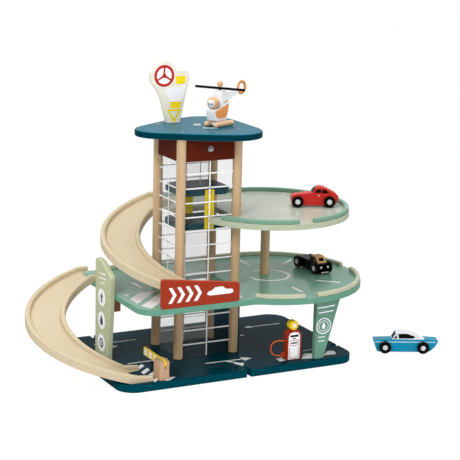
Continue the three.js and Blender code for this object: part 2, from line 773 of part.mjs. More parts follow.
function addBarrier() {
  const left = barrierX - barrierWide / 2;
  const right = barrierX + barrierWide / 2;
  const back = barrierFront + barrierDeep;
  const top = baseThick + barrierHigh;
  const pinZ = baseThick + armPinHigh;
  const slotHalf = armThick / 2 + gap;
  const half = armHigh / 2;
  const slot = box(
    [armX - slotHalf, barrierFront - overrun, pinZ - half - gap],
    [armX + slotHalf, back + overrun, top + overrun]);
  const pinHole = (radius) => rodAlongX(radius, left - overrun, right + overrun, armPinY, pinZ);
  const block = box([left, barrierFront, baseThick], [right, back, top]);
  addPiece('barrier_block', cutBy(block, [slot, pinHole(pinRadius + gap)]), 'block');
  const arm = new THREE.Shape();
  arm.absarc(armPinY, pinZ, half, Math.PI / 2, Math.PI * 1.5);
  arm.lineTo(armPinY + armLong, pinZ - half);
  arm.lineTo(armPinY + armLong, pinZ + half);
  arm.closePath();
  const armBoard = standingAlong(arm, armThick, armX - armThick / 2);
  addPiece('barrier_arm', cutBy(armBoard, [pinHole(pinRadius + gap)]), 'yellow');
  addPiece('barrier_pin', rodAlongX(pinRadius, left, right, armPinY, pinZ), 'steel');
}

function addPump() {
  const left = pumpX - pumpWide / 2;
  const right = pumpX + pumpWide / 2;
  const top = baseThick + pumpHigh;
  const shape = new THREE.Shape();
  shape.moveTo(left, baseThick);
  shape.lineTo(right, baseThick);
  shape.absarc(right - pumpRound, top - pumpRound, pumpRound, 0, Math.PI / 2);
  shape.absarc(left + pumpRound, top - pumpRound, pumpRound, Math.PI / 2, Math.PI);
  shape.closePath();
  addPiece('pump_body', standingAcross(shape, pumpDeep, pumpFront), 'red');
  const globeZ = top + globeRadius + gap;
  const globe = rodAlongY(globeRadius, pumpFront, pumpFront + globeLong, globeX, globeZ, postSides);
  addPiece('pump_globe', globe, 'yellow');
  const end = left - gap;
  const start = end - nozzleLong;
  const collar = end - nozzleLong * collarShare;
  const nozzle = new THREE.LatheGeometry([
    new THREE.Vector2(0, start), new THREE.Vector2(nozzleRadius * collarShare, start),
    new THREE.Vector2(nozzleRadius, collar), new THREE.Vector2(nozzleRadius, end), new THREE.Vector2(0, end),
  ], smallSides);
  nozzle.rotateZ(-Math.PI / 2).translate(0, hoseY, baseThick + nozzleHigh);
  addPiece('pump_nozzle', nozzle, 'red');
  const path = new THREE.CatmullRomCurve3(hosePoints.map(([x, z]) => new THREE.Vector3(x, hoseY, z)));
  const ring = new THREE.Shape().absarc(0, 0, hoseRadius, 0, Math.PI * 2);
  const sweep = { steps: hoseSteps, curveSegments: cordSides / 2, extrudePath: path };
  const hose = new THREE.ExtrudeGeometry(ring, sweep);
  addPiece('pump_hose', hose, 'hose');
}

function heliOutline(shares) {
  return shares.map(([along, high]) => [along * heliNose, high * heliHigh]);
}

function heliBodyGeometry() {
  const centred = (shape, wide) => standingAcross(shape, wide, -wide / 2);
  const main = centred(polygon(heliOutline(heliShares)), heliWide);
  const boomEnd = ringX + ringRadius + gap;
  const boom = centred(polygon([
    ...heliOutline(boomShares), [boomEnd, boomEndHigh], [boomEnd, boomEndHigh + boomEndTall]]), boomWide);
  const keel = box([-keelLong / 2, -keelWide / 2, keelRaise], [keelLong / 2, keelWide / 2, keelHigh]);
  return joined([main, boom, keel]);
}

function addHelicopter() {
  const frame = new THREE.Group();
  frame.position.set(heliX, heliY, roofTop);
  frame.rotation.z = heliTurn;
  garage.add(frame);
  addPiece('helicopter_body', heliBodyGeometry(), 'white', [0, 0, 0], frame);
  [-1, 1].forEach((side) => {
    const skid = new THREE.CapsuleGeometry(skidRadius, skidLong - 2 * skidRadius, cordSides / 2, smallSides);
    const name = side < 0 ? 'helicopter_skid_left' : 'helicopter_skid_right';
    addPiece(name, skid.rotateZ(Math.PI / 2), 'beech', [0, side * skidSpread / 2, skidRadius + gap], frame);
  });
  const head = new THREE.SphereGeometry(headRadius, smallSides, postSides / 2);
  addPiece('helicopter_pilot', head, 'beech', [headX, 0, heliHigh * heliSeatShare + headRadius + gap], frame);
  const half = ringThick / 2;
  const edge = half / 2;
  const ring = turnedAlongY([
    [ringBore, edge - half], [ringBore + edge, -half], [ringRadius - edge, -half], [ringRadius, edge - half],
    [ringRadius, half - edge], [ringRadius - edge, half], [ringBore + edge, half], [ringBore, half - edge],
    [ringBore, edge - half],
  ], postSides);
  addPiece('helicopter_tail_ring', ring, 'orange', [ringX, 0, ringHigh], frame);
  const barHigh = heliHigh + rotorLift;
  const bar = rodAlongX(rotorRadius, -rotorLong / 2, rotorLong / 2, 0, barHigh, smallSides);
  const ballHigh = barHigh + rotorRadius + rotorBall;
  const pin = rodUp(rotorPinRadius, heliHigh + gap, ballHigh, 0, 0, smallSides);
  const ball = new THREE.SphereGeometry(rotorBall, smallSides, smallSides / 2).translate(0, 0, ballHigh);
  const rotor = addPiece('helicopter_rotor', joined([bar, pin, ball]), 'black', [0, 0, 0], frame);
  rotor.rotation.z = rotorTurn;
}

// Two wheels with dished hubs, outside the car's body, on one axle along Y
function wheelPair(radius) {
  const inner = carBodyWide / 2 + gap;
  const outer = inner + carWheelWide;
  return turnedAlongY([
    [0, -outer + carHubDish], [carHubRadius, -outer + carHubDish], [carHubRadius, -outer],
    [radius, -outer], [radius, -inner], [carAxleRadius, -inner],
    [carAxleRadius, inner], [radius, inner], [radius, outer],
    [carHubRadius, outer], [carHubRadius, outer - carHubDish], [0, outer - carHubDish],
  ], postSides);
}

function carOutline(car, shares) {
  const middle = (car.rear + car.front) / 2;
  return polygon(shares.map(([along, high]) => [(along - middle) * car.length, high * car.height]));
}

// A car's place on a disc, from the room between the car's middle and the rim
function placeOnDisc(x, y, radius, top, car) {
  const reach = radius - car.rimRoom;
  const bearing = car.bearingShare * fullTurn;
  return [x + reach * Math.cos(bearing), y + reach * Math.sin(bearing), top];
}

function addCar(car, place, look) {
  const frame = new THREE.Group();
  frame.position.set(...place);
  frame.rotation.z = car.turnShare * fullTurn;
  garage.add(frame);
  const halfBase = (car.front - car.rear) * car.length / 2;
  const halfWide = carBodyWide / 2;
  const axleHigh = car.wheelRadius + gap;
  const bore = (x) => rodAlongY(carAxleRadius + gap, -halfWide - overrun, halfWide + overrun, x, axleHigh);
  const body = standingAcross(carOutline(car, car.shares), carBodyWide, -halfWide);
  addPiece(`${car.name}_body`, cutBy(body, [bore(-halfBase), bore(halfBase)]), look, [0, 0, 0], frame);
  const wheels = wheelPair(car.wheelRadius);
  addPiece(`${car.name}_rear_wheels`, wheels, 'black', [-halfBase, 0, axleHigh], frame);
  addPiece(`${car.name}_front_wheels`, wheels.clone(), 'black', [halfBase, 0, axleHigh], frame);
  return frame;
}

function addCars() {
  addCar(coupe, placeOnDisc(topDiscX, topDiscY, topDiscRadius, topDeckTop, coupe), 'carRed');
  addCar(saloon, [baseLength / 2 + saloon.standOff, saloon.y, 0], 'blue');
  const place = placeOnDisc(midDiscX, midDiscY, midDiscRadius, midDeckTop, pickup);
  const frame = addCar(pickup, place, 'black');
  const cabWide = carBodyWide * cabWidthShare;
  const cab = standingAcross(carOutline(pickup, cabShares), cabWide, -cabWide / 2);
  addPiece('pickup_cab', cab, 'block', [0, 0, 0], frame);
}

addBase();
addTower();
addDecks();
addCurbs();
addRamp('upper_ramp', upperRampX, upperRampY, topDeckTop, midDeckTop);
addRamp('lower_ramp', lowerRampX, lowerRampY, midDeckTop, baseThick);
addRoof();
addLift();
addWinder();
addFrontSign();
addPylon();
addRoofSign();
addUnderDeckBoards();
addBarrier();
addPump();
addHelicopter();
addCars();

export default garage;
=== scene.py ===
# %% [markdown]
# # A wooden toy parking garage
#
# This lesson dresses a toy garage: a lift tower on a base board, two decks, two curved ramps,
# a landing roof, a few signs and a handful of toy vehicles. The solids come in as a fixed frame.
# Everything here works in metres in that frame, and MM turns the workshop's millimetres into them.

import json
import math

import bmesh
import bpy
from mathutils import Matrix, Vector


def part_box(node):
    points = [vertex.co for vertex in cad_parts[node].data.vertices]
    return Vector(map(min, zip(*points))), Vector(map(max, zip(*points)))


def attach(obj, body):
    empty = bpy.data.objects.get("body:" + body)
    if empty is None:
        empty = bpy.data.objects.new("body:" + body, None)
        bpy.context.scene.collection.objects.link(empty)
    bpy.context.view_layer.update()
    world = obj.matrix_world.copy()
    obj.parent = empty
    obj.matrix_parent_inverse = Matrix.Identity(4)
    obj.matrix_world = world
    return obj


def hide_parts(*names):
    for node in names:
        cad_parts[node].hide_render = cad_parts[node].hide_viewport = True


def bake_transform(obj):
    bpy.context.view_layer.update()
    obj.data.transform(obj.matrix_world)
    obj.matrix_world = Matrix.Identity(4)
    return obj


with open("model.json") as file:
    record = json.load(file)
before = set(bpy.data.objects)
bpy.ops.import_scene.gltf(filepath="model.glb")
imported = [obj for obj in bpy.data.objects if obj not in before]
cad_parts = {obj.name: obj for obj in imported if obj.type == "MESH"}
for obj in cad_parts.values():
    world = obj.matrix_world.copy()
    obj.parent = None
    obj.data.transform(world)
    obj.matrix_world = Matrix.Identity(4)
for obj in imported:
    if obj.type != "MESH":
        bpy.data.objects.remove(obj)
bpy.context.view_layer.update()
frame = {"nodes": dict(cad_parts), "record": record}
NODES = frame["nodes"]
MM = 0.001


def mm(*sizes):
    """A point or size given in millimetres, as a vector in metres."""
    return Vector(sizes) * MM


def low(node):
    """The lowest corner of a CAD node."""
    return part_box(node)[0]


def high(node):
    """The highest corner of a CAD node."""
    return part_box(node)[1]


def middle(node):
    """The middle of a CAD node's box."""
    return (low(node) + high(node)) / 2


BODY_OF = {n: b for b, names in frame["record"]["behaviour"]["bodies"].items() for n in names}


# %% [markdown]
# ## The camera
#
# A product photograph is taken with a long lens from a few metres away, so upright edges stay
# almost parallel. The camera's place and turn were found once from the straight edges of the base
# board and the posts, and they are written here as the three directions of the camera's own axes.

# %% Camera
CAMERA_PLACE = mm(-1334.7, -2628.1, 940.0)
CAMERA_RIGHT = (0.8877, -0.4598, 0.0243)
CAMERA_UP = (0.0838, 0.2133, 0.9734)
CAMERA_BACK = (-0.4528, -0.8620, 0.2278)
LENS = 123.65

camera_data = bpy.data.cameras.new("camera")
camera_data.lens = LENS
camera_data.sensor_width = 36
camera_data.clip_end = 20
camera = bpy.data.objects.new("camera", camera_data)
bpy.context.scene.collection.objects.link(camera)
camera.matrix_world = (
    Matrix.Translation(CAMERA_PLACE)
    @ Matrix((CAMERA_RIGHT, CAMERA_UP, CAMERA_BACK)).transposed().to_4x4()
)
bpy.context.scene.camera = camera
bpy.context.scene.view_settings.view_transform = "Standard"
print("camera", round(CAMERA_PLACE.length, 2), "m from the base board's middle")

# %% [markdown]
# ## Small helpers for pieces
#
# Every new piece is built in a bmesh at its real place, then handed to an object that sits at the
# origin and rides on one body of the frame. Flat faces next to rounded edges keep a clean sheen
# when the normals are weighted by face area, so each piece gets that modifier.

# %% Turn a bmesh into a piece
SMOOTH_ANGLE = math.radians(35)
WELD = 0.01 * MM


def piece_from(bm, name, body, *finishes):
    """Makes the finished object and lets it ride on its body."""
    bmesh.ops.remove_doubles(bm, verts=bm.verts, dist=WELD)
    mesh = bpy.data.meshes.new(name)
    bm.to_mesh(mesh)
    bm.free()
    if "custom_normal" in mesh.attributes:
        mesh.attributes.remove(mesh.attributes["custom_normal"])
    mesh.shade_smooth()
    mesh.set_sharp_from_angle(angle=SMOOTH_ANGLE)
    for finish in finishes:
        mesh.materials.append(finish)
    piece = bpy.data.objects.new(name, mesh)
    bpy.context.scene.collection.objects.link(piece)
    weighted = piece.modifiers.new("even sheen", "WEIGHTED_NORMAL")
    weighted.keep_sharp = True
    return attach(piece, body)


def moved_verts(result):
    """The vertices that an operator has made."""
    return [v for v in result["geom"] if isinstance(v, bmesh.types.BMVert)]


def push(bm, faces, step):
    """Extrudes faces by a step and gives back the faces at the far end."""
    result = bmesh.ops.extrude_face_region(bm, geom=faces)
    bmesh.ops.translate(bm, vec=step, verts=moved_verts(result))
    return [f for f in result["geom"] if isinstance(f, bmesh.types.BMFace)]


def grow(bm, faces, step):
    """Lengthens a closed body at some faces, and drops the old ones that end up inside it."""
    ends = push(bm, faces, step)
    inside = [f for f in faces if f.is_valid]
    if inside:
        bmesh.ops.delete(bm, geom=inside, context="FACES")
    return ends


def soften(bm, width, segments=3, sharper=25):
    """Rounds every edge that is sharper than an angle in degrees."""
    edges = [
        e for e in bm.edges
        if len(e.link_faces) == 2 and e.calc_face_angle(0) > math.radians(sharper)
    ]
    bmesh.ops.bevel(
        bm, geom=edges, offset=width, offset_type="OFFSET", segments=segments,
        profile=0.5, affect="EDGES", clamp_overlap=True, material=-1,
    )


# %% [markdown]
# ## Boards with sanded edges
#
# Most of the toy is board, cut to an outline and sanded round at its edges before painting. The
# solids in the frame already have the right outlines, so a board is a welded copy of its solid:
# the loose triangles are joined, flat faces are made whole again, and the sharp edges get a
# narrow round. A modelled round catches the light along the edge, which a plain solid never does.

# %% Sanded copies of solids
def sanded(node, width, segments=3):
    """A welded bmesh of a node, with its flat faces whole and its edges rounded."""
    bm = bmesh.new()
    bm.from_mesh(NODES[node].data)
    bmesh.ops.remove_doubles(bm, verts=bm.verts, dist=WELD)
    bmesh.ops.dissolve_limit(
        bm, angle_limit=math.radians(1), verts=bm.verts, edges=bm.edges
    )
    soften(bm, width, segments)
    return bm


def stand_for(piece, *nodes):
    """The piece takes the place of its nodes, which are hidden."""
    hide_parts(*nodes)
    return piece


def sand(node, finish, width=1.2, segments=3):
    """A sanded board that stands for its node."""
    bm = sanded(node, width * MM, segments)
    return stand_for(piece_from(bm, f"{node}_sanded", BODY_OF[node], finish), node)


# %% [markdown]
# ## The pump's hose
#
# The hose is a soft orange cord, 3 mm thick, that loops from the pump's side down to its nozzle.
# The photograph shows it from end to end, so its route is the same list of points as in the
# solids. A curve with a round bevel is the natural way to make a cord: it keeps its thickness
# in every bend. The curve is then turned into a mesh tube, because the box of a mesh is exact,
# and the curve's own line is kept as the path that the tube follows.

# %% Hose route
HOSE_Y = -131
HOSE_RADIUS = 1.5
HOSE_ROUTE = [
    (101.7, 52.4), (97, 53), (92, 54), (86, 54.3), (80, 53.6), (75, 51.3), (71.8, 47.8),
    (70.2, 43), (70.2, 38.5), (71.3, 34.5), (73.4, 31.3), (77, 28.3), (81, 26.2), (86, 24.9),
    (91.7, 24.6),
]

hose_curve = bpy.data.curves.new("hose_route", "CURVE")
hose_curve.dimensions = "3D"
hose_curve.bevel_resolution = 4
hose_curve.resolution_u = 6
hose_curve.use_fill_caps = True
hose_line = hose_curve.splines.new("BEZIER")
hose_line.bezier_points.add(len(HOSE_ROUTE) - 1)
for point, (x, z) in zip(hose_line.bezier_points, HOSE_ROUTE):
    point.co = mm(x, HOSE_Y, z)
    point.handle_left_type = point.handle_right_type = "AUTO"
hose_guide = bpy.data.objects.new("hose_route", hose_curve)
bpy.context.scene.collection.objects.link(hose_guide)


def curve_mesh(curve_object):
    """The mesh that a curve makes with its present settings."""
    bpy.context.view_layer.update()
    shown = curve_object.evaluated_get(bpy.context.evaluated_depsgraph_get())
    return bpy.data.meshes.new_from_object(shown)


hose_path = [vertex.co.copy() for vertex in curve_mesh(hose_guide).vertices]
hose_curve.bevel_depth = HOSE_RADIUS * MM
bm = bmesh.new()
bm.from_mesh(curve_mesh(hose_guide))
bpy.data.objects.remove(hose_guide)
bmesh.ops.recalc_face_normals(bm, faces=bm.faces)
hose = piece_from(bm, "pump_hose_cord", "garage")
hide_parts("pump_hose")

# %% [markdown]
# ## Painted wood
#
# The boards are sprayed with a water-based paint and a clear coat: an even colour with a soft cloudiness, a
# gloss that mirrors what stands on the board, and a very slight ripple from the wood below. Board edges
# drink more paint, so they look a little blotchier, and they also take a second tone of the same paint,
# lighter or darker than the top, which is painted light and shade. All of this can come from two noise
# textures in object space, and the face's direction says which faces are edges.

# %% Node helpers
def linear(colour):
    """An sRGB colour as 0 to 255 numbers, as the linear colour that shaders use."""
    channels = [c / 255 for c in colour]
    return tuple(
        c / 12.92 if c <= 0.04045 else ((c + 0.055) / 1.055) ** 2.4 for c in channels
    ) + (1.0,)


def shade(colour, factor):
    """A linear colour made lighter or darker."""
    return tuple(min(1.0, c * factor) for c in colour[:3]) + (1.0,)


class Recipe:
    """A material with its Principled shader and short ways to add and link nodes."""

    def __init__(self, name, roughness, metallic=0.0):
        self.material = bpy.data.materials.new(f"{name}_finish")
        self.material.use_nodes = True
        self.tree = self.material.node_tree
        self.shader = self.tree.nodes["Principled BSDF"]
        self.shader.inputs["Roughness"].default_value = roughness
        self.shader.inputs["Metallic"].default_value = metallic

    def node(self, kind, values=(), **settings):
        """Adds a node, with its settings and the values of its inputs."""
        made = self.tree.nodes.new(f"ShaderNode{kind}")
        for key, value in settings.items():
            setattr(made, key, value)
        for key, value in dict(values).items():
            made.inputs[key].default_value = value
        return made

    def link(self, source, target):
        self.tree.links.new(source, target)

    def place(self, scale=(1, 1, 1), turn=(0, 0, 0)):
        """Object coordinates, stretched and turned."""
        coordinates = self.node("TexCoord")
        mapping = self.node("Mapping", {"Scale": scale, "Rotation": turn})
        self.link(coordinates.outputs["Object"], mapping.inputs["Vector"])
        return mapping.outputs["Vector"]

    def noise(self, where, scale, detail=3.0, rough=0.5):
        made = self.node("TexNoise", {"Scale": scale, "Detail": detail, "Roughness": rough})
        self.link(where, made.inputs["Vector"])
        return made.outputs["Fac"]

    def ramp(self, source, *stops):
        """A colour ramp from (place, colour) stops."""
        made = self.node("ValToRGB")
        elements = made.color_ramp.elements
        while len(elements) < len(stops):
            elements.new(0.5)
        for element, (place, colour) in zip(elements, stops):
            element.position = place
            element.color = colour
        self.link(source, made.inputs["Fac"])
        return made.outputs["Color"]

    def span(self, source, low_end, high_end):
        """A 0 to 1 value as a value between two ends."""
        made = self.node("MapRange", {"To Min": low_end, "To Max": high_end})
        self.link(source, made.inputs["Value"])
        return made.outputs["Result"]

    def mix(self, factor, first, second, blend="MIX"):
        made = self.node("Mix", data_type="RGBA", blend_type=blend)
        for key, value in ((0, factor), (6, first), (7, second)):
            if hasattr(value, "is_linked"):
                self.link(value, made.inputs[key])
            else:
                made.inputs[key].default_value = value
        return made.outputs[2]

    def bump(self, source, strength, distance):
        made = self.node("Bump", {"Strength": strength, "Distance": distance})
        self.link(source, made.inputs["Height"])
        self.link(made.outputs["Normal"], self.shader.inputs["Normal"])

    def upright(self):
        """1 on faces that stand upright, such as a board's edge, and 0 on level ones."""
        geometry = self.node("NewGeometry")
        parts = self.node("SeparateXYZ")
        self.link(geometry.outputs["Normal"], parts.inputs["Vector"])
        size = self.node("Math", operation="ABSOLUTE")
        self.link(parts.outputs["Z"], size.inputs[0])
        made = self.node("MapRange", {"From Min": 0.35, "From Max": 0.75, "To Min": 1, "To Max": 0})
        self.link(size.outputs[0], made.inputs["Value"])
        return made.outputs["Result"]


# %% Painted wood
def paint(name, colour, roughness=0.3, edge=None, cloud=0.06, shine=0.3):
    """Sprayed and lacquered wood. The edge colour is a second tone of the same paint for a board's upright
    sides: painted light and shade.
    """
    recipe = Recipe(name, roughness)
    recipe.shader.inputs["Specular IOR Level"].default_value = shine
    face = linear(colour)
    where = recipe.place()
    clouds = recipe.noise(where, 22, 4)
    body = recipe.ramp(clouds, (0.3, shade(face, 1 - cloud)), (0.7, shade(face, 1 + cloud)))
    # An edge colour gives the upright faces a second tone of the same paint: painted light and shade.
    if edge:
        side = linear(edge)
        fibres = recipe.noise(recipe.place((60, 60, 260)), 1.6, 5, 0.6)
        sides = recipe.ramp(fibres, (0.3, shade(side, 0.9)), (0.7, shade(side, 1.08)))
        body = recipe.mix(recipe.upright(), body, sides)
    recipe.link(body, recipe.shader.inputs["Base Color"])
    streaks = recipe.noise(where, 55, 3)
    recipe.link(
        recipe.span(streaks, roughness * 0.75, roughness * 1.3),
        recipe.shader.inputs["Roughness"],
    )
    recipe.bump(recipe.noise(recipe.place(), 300, 2), 0.02, 0.0001)
    return recipe.material


# %% [markdown]
# ## Bare wood
#
# The posts, the ramps and the small turned pieces are plain beech or maple, sanded and oiled.
# Beech has a straight, fine grain and short dark flecks along it. Noise stretched along the
# grain gives both: a soft one for the bands and a fine, hard-edged one for the flecks.

# %% Bare wood
GRAIN_STRETCH = 14


def timber(name, colour, along="Z", band=0.10, fleck=0.16, roughness=0.5):
    """Sanded wood with its grain along one axis."""
    recipe = Recipe(name, roughness)
    tone = linear(colour)
    stretch = [GRAIN_STRETCH] * 3
    stretch["XYZ".index(along)] = 1
    where = recipe.place(stretch)
    bands = recipe.noise(where, 9, 5, 0.6)
    body = recipe.ramp(
        bands, (0.28, shade(tone, 1 - band * 1.6)), (0.5, tone), (0.75, shade(tone, 1 + band))
    )
    fine = recipe.noise(where, 90, 3, 0.65)
    flecks = recipe.ramp(fine, (0.6, (0, 0, 0, 1)), (0.72, (1, 1, 1, 1)))
    body = recipe.mix(flecks, body, shade(tone, 1 - fleck * 2))
    recipe.link(body, recipe.shader.inputs["Base Color"])
    recipe.link(
        recipe.span(bands, roughness * 1.15, roughness * 0.85),
        recipe.shader.inputs["Roughness"],
    )
    recipe.bump(fine, 0.12, 0.0002)
    return recipe.material


# %% [markdown]
# ## Metal, rubber and clear sheet
#
# The lift's shaft ends in a bright dome nut, the wheels are matt black with silver hubs, and the
# tower's windows are thin clear sheets with a faint haze. A haze that is partly see-through
# is simplest as a white shader with a low alpha, which also survives the export.

# %% Other finishes
def metal(name, colour, roughness, metallic=1.0):
    """Plated steel with a slightly uneven polish, or a silver lacquer if it is less metallic."""
    recipe = Recipe(name, roughness, metallic)
    where = recipe.place()
    tone = linear(colour)
    body = recipe.ramp(
        recipe.noise(where, 160, 3), (0.3, shade(tone, 0.92)), (0.7, shade(tone, 1.05))
    )
    recipe.link(body, recipe.shader.inputs["Base Color"])
    recipe.link(
        recipe.span(recipe.noise(where, 320, 2), roughness * 0.7, roughness * 1.4),
        recipe.shader.inputs["Roughness"],
    )
    return recipe.material


def haze(name, colour, alpha, roughness):
    """A thin clear sheet that is a little cloudy."""
    recipe = Recipe(name, roughness)
    recipe.shader.inputs["Specular IOR Level"].default_value = 0.2
    where = recipe.place((1, 1, 0.3))
    tone = linear(colour)
    clouds = recipe.noise(where, 14, 3)
    body = recipe.ramp(clouds, (0.3, shade(tone, 0.95)), (0.7, tone))
    recipe.link(body, recipe.shader.inputs["Base Color"])
    recipe.link(
        recipe.span(clouds, alpha * 0.85, alpha * 1.15), recipe.shader.inputs["Alpha"]
    )
    return recipe.material


# %% The palette
# Where a paint has a second colour, its board's upright edges take it, and the gap between top and edge is
# painted light and shade: the roof's top is lighter than its edges as a painted reflection, and the base
# board's top is darker than its edges as painted shade from the decks above it.
BASE_PAINT = paint("base_paint", (0, 52, 64), 0.08, (0, 68, 82), shine=0.014)
ROOF_PAINT = paint("roof_paint", (0, 100, 122), 0.1, (0, 54, 66), shine=0.03)
MINT_PAINT = paint("mint_paint", (118, 166, 146), 0.18, (100, 154, 132), shine=0.45)
SAGE_PAINT = paint("sage_paint", (184, 190, 174), 0.2, (180, 190, 164), cloud=0.03, shine=0.45)
SEA_PAINT = paint("sea_paint", (128, 168, 146), 0.3, (120, 160, 138))
CURB_PAINT = paint("curb_paint", (194, 197, 170), 0.3, (191, 194, 166))
SIGN_SAGE = paint("sign_sage", (192, 198, 162), 0.3, (188, 196, 160))
PROP_MINT = paint("prop_mint", (106, 152, 132), 0.3)
BRICK_PAINT = paint("brick_paint", (90, 32, 16), 0.35, shine=0.03)
SIGN_RED = paint("sign_red", (180, 62, 34), 0.3, (160, 52, 28), shine=0.15)
PUMP_RED = paint("pump_red", (172, 54, 30), 0.3, (158, 50, 28), shine=0.12)
LIFT_TEAL = paint("lift_teal", (16, 66, 82), 0.3, (20, 72, 86), shine=0.15)
LIFT_YELLOW = paint("lift_yellow", (252, 222, 34), 0.35)
ARM_YELLOW = paint("arm_yellow", (248, 208, 24), 0.35)
CREAM_PAINT = paint("cream_paint", (240, 235, 218), 0.4)
BROWN_PAINT = paint("brown_paint", (150, 92, 68), 0.5)
WHITE_PAINT = paint("white_paint", (246, 246, 248), 0.35, cloud=0.02)
PRINT_WHITE = paint("print_white", (250, 250, 252), 0.3, cloud=0.02)
PRINT_PINK = paint("print_pale", (226, 220, 222), 0.3, cloud=0.03)
PRINT_FAINT = paint("print_faint", (200, 205, 204), 0.3, cloud=0.03)
PRINT_YELLOW = paint("print_yellow", (255, 224, 8), 0.35, cloud=0.03)
PRINT_RED = paint("print_red", (196, 44, 30), 0.35, cloud=0.03)
PRINT_TEAL = paint("print_teal", (16, 66, 78), 0.35, cloud=0.03)
BLACK_PAINT = paint("black_paint", (8, 8, 9), 0.3, cloud=0.1, shine=0.15)
CAR_BLACK = paint("car_black", (3, 4, 6), 0.25, cloud=0.1, shine=0.06)
CAR_BED = paint("car_bed", (92, 88, 98), 0.5, cloud=0.2)
CAR_RED = paint("car_red", (198, 42, 34), 0.2, cloud=0.04, shine=0.25)
CAR_BLUE = paint("car_blue", (0, 136, 172), 0.25, cloud=0.04, shine=0.2)
CAR_WHITE = paint("car_white", (222, 224, 228), 0.35, cloud=0.03)
STRIPE_BLUE = paint("stripe_blue", (196, 224, 236), 0.35, cloud=0.03)
ORANGE_PAINT = paint("orange_paint", (244, 160, 84), 0.4)
PALE_GREY = paint("pale_grey", (164, 170, 184), 0.4, cloud=0.04)
ROTOR_BLACK = paint("rotor_black", (10, 10, 11), 0.5, cloud=0.1, shine=0.1)
WHEEL_BLACK = paint("wheel_black", (9, 9, 9), 0.4, cloud=0.1, shine=0.15)
HOSE_ORANGE = paint("hose_orange", (206, 92, 44), 0.55)
CORD_WHITE = paint("cord_white", (232, 228, 218), 0.8)
BEECH = timber("beech", (206, 174, 136), "Z")
BEECH_Y = timber("beech_across", (208, 172, 132), "Y")
BEECH_SKID = timber("beech_skid", (232, 190, 152), "X", 0.06, 0.08)
BEECH_HEAD = timber("beech_head", (218, 170, 122), "Z", 0.08, 0.06)
RING_WOOD = timber("ring_wood", (222, 150, 90), "Z", 0.08, 0.12)
RAMP_WOOD = timber("ramp_wood", (206, 190, 159), "X", 0.015, 0.02, 0.45)
RAW_BLOCK = timber("raw_block", (200, 162, 130), "Z", 0.07, 0.08, 0.55)
CAB_WOOD = timber("cab_wood", (222, 170, 118), "Y", 0.07, 0.08, 0.55)
# A darker copy of the cab's wood for its two sides, as painted shade.
CAB_SHADED_SIDE = timber("cab_shaded_side", (124, 86, 58), "Y", 0.07, 0.08, 0.6)
STEEL = metal("steel", (226, 228, 230), 0.3, 0.7)
HUB_SILVER = metal("hub_silver", (232, 232, 234), 0.4, 0.25)
CLEAR_SHEET = haze("clear_sheet", (76, 76, 78), 0.09, 0.12)
# The left window is the same acrylic as the front one, and its paler tone is painted light.
LIT_SIDE_SHEET = haze("lit_side_sheet", (196, 194, 194), 0.06, 0.12)
BACK_SHEET = haze("back_sheet", (250, 250, 250), 0.16, 0.12)
print(len(bpy.data.materials), "finishes")
hose.data.materials.append(HOSE_ORANGE)

# %% [markdown]
# ## Base board and tower
#
# The base board is a thick painted panel with three slots where road pieces plug in. The tower
# stands on it: four beech dowels, header boards under the roof, and clear sheets between the
# dowels. A dowel is turned on a lathe, and a spin of its half outline does the same.

# %% Turned pieces
ALONG_X = Matrix.Rotation(math.pi / 2, 4, "Y")
ALONG_Y = Matrix.Rotation(-math.pi / 2, 4, "X")


def turned(profile, steps=48):
    """A bmesh spun round Z from (radius, height) points in millimetres."""
    bm = bmesh.new()
    verts = [bm.verts.new(mm(radius, 0, height)) for radius, height in profile]
    edges = [bm.edges.new(pair) for pair in zip(verts, verts[1:])]
    bmesh.ops.spin(
        bm, geom=verts + edges, cent=(0, 0, 0), axis=(0, 0, 1), angle=2 * math.pi,
        steps=steps, use_merge=True,
    )
    bmesh.ops.remove_doubles(bm, verts=bm.verts, dist=WELD)
    bmesh.ops.recalc_face_normals(bm, faces=bm.faces)
    return bm


def rounded_rod(radius, length, edge, steps=48):
    """A rod from height 0, with its ends' edges rounded off."""
    half = edge * 0.3
    return turned([
        (0, 0), (radius - edge, 0), (radius - half, half), (radius, edge),
        (radius, length - edge), (radius - half, length - half), (radius - edge, length),
        (0, length),
    ], steps)


# %% Base board, posts and headers
sand("base_board", BASE_PAINT, 1.8)
for node in ("tower_post_1", "tower_post_2", "tower_post_3", "tower_post_4", "deck_post"):
    radius = (high(node).x - low(node).x) / 2 / MM
    tall = (high(node).z - low(node).z) / MM
    bm = rounded_rod(radius, tall, 0.8)
    foot = middle(node)
    foot.z = low(node).z
    bmesh.ops.transform(bm, matrix=Matrix.Translation(foot), verts=bm.verts)
    stand_for(piece_from(bm, f"{node}_dowel", BODY_OF[node], BEECH), node)
for side in ("front", "back", "left", "right"):
    sand(f"header_{side}", BRICK_PAINT, 0.6)

# %% [markdown]
# ## Printed marks
#
# Roads, arrows and signs are screen printed on the boards: flat shapes, a tenth of a millimetre
# thick. Modelling them as thin plates keeps their edges crisp at any distance. A mark is drawn
# flat in two dimensions, raised by its thickness, and then laid on its board.

# %% Flat marks
PRINT_THICK = 0.12


def patch(bm, points):
    """A flat face from points in millimetres."""
    bm.faces.new([bm.verts.new(mm(x, y, 0)) for x, y in points])


def bar(bm, start, end, width):
    """A straight stroke."""
    along = (Vector(end) - Vector(start)).normalized() * width / 2
    across = Vector((-along.y, along.x))
    start, end = Vector(start), Vector(end)
    patch(bm, [start - across, end - across, end + across, start + across])


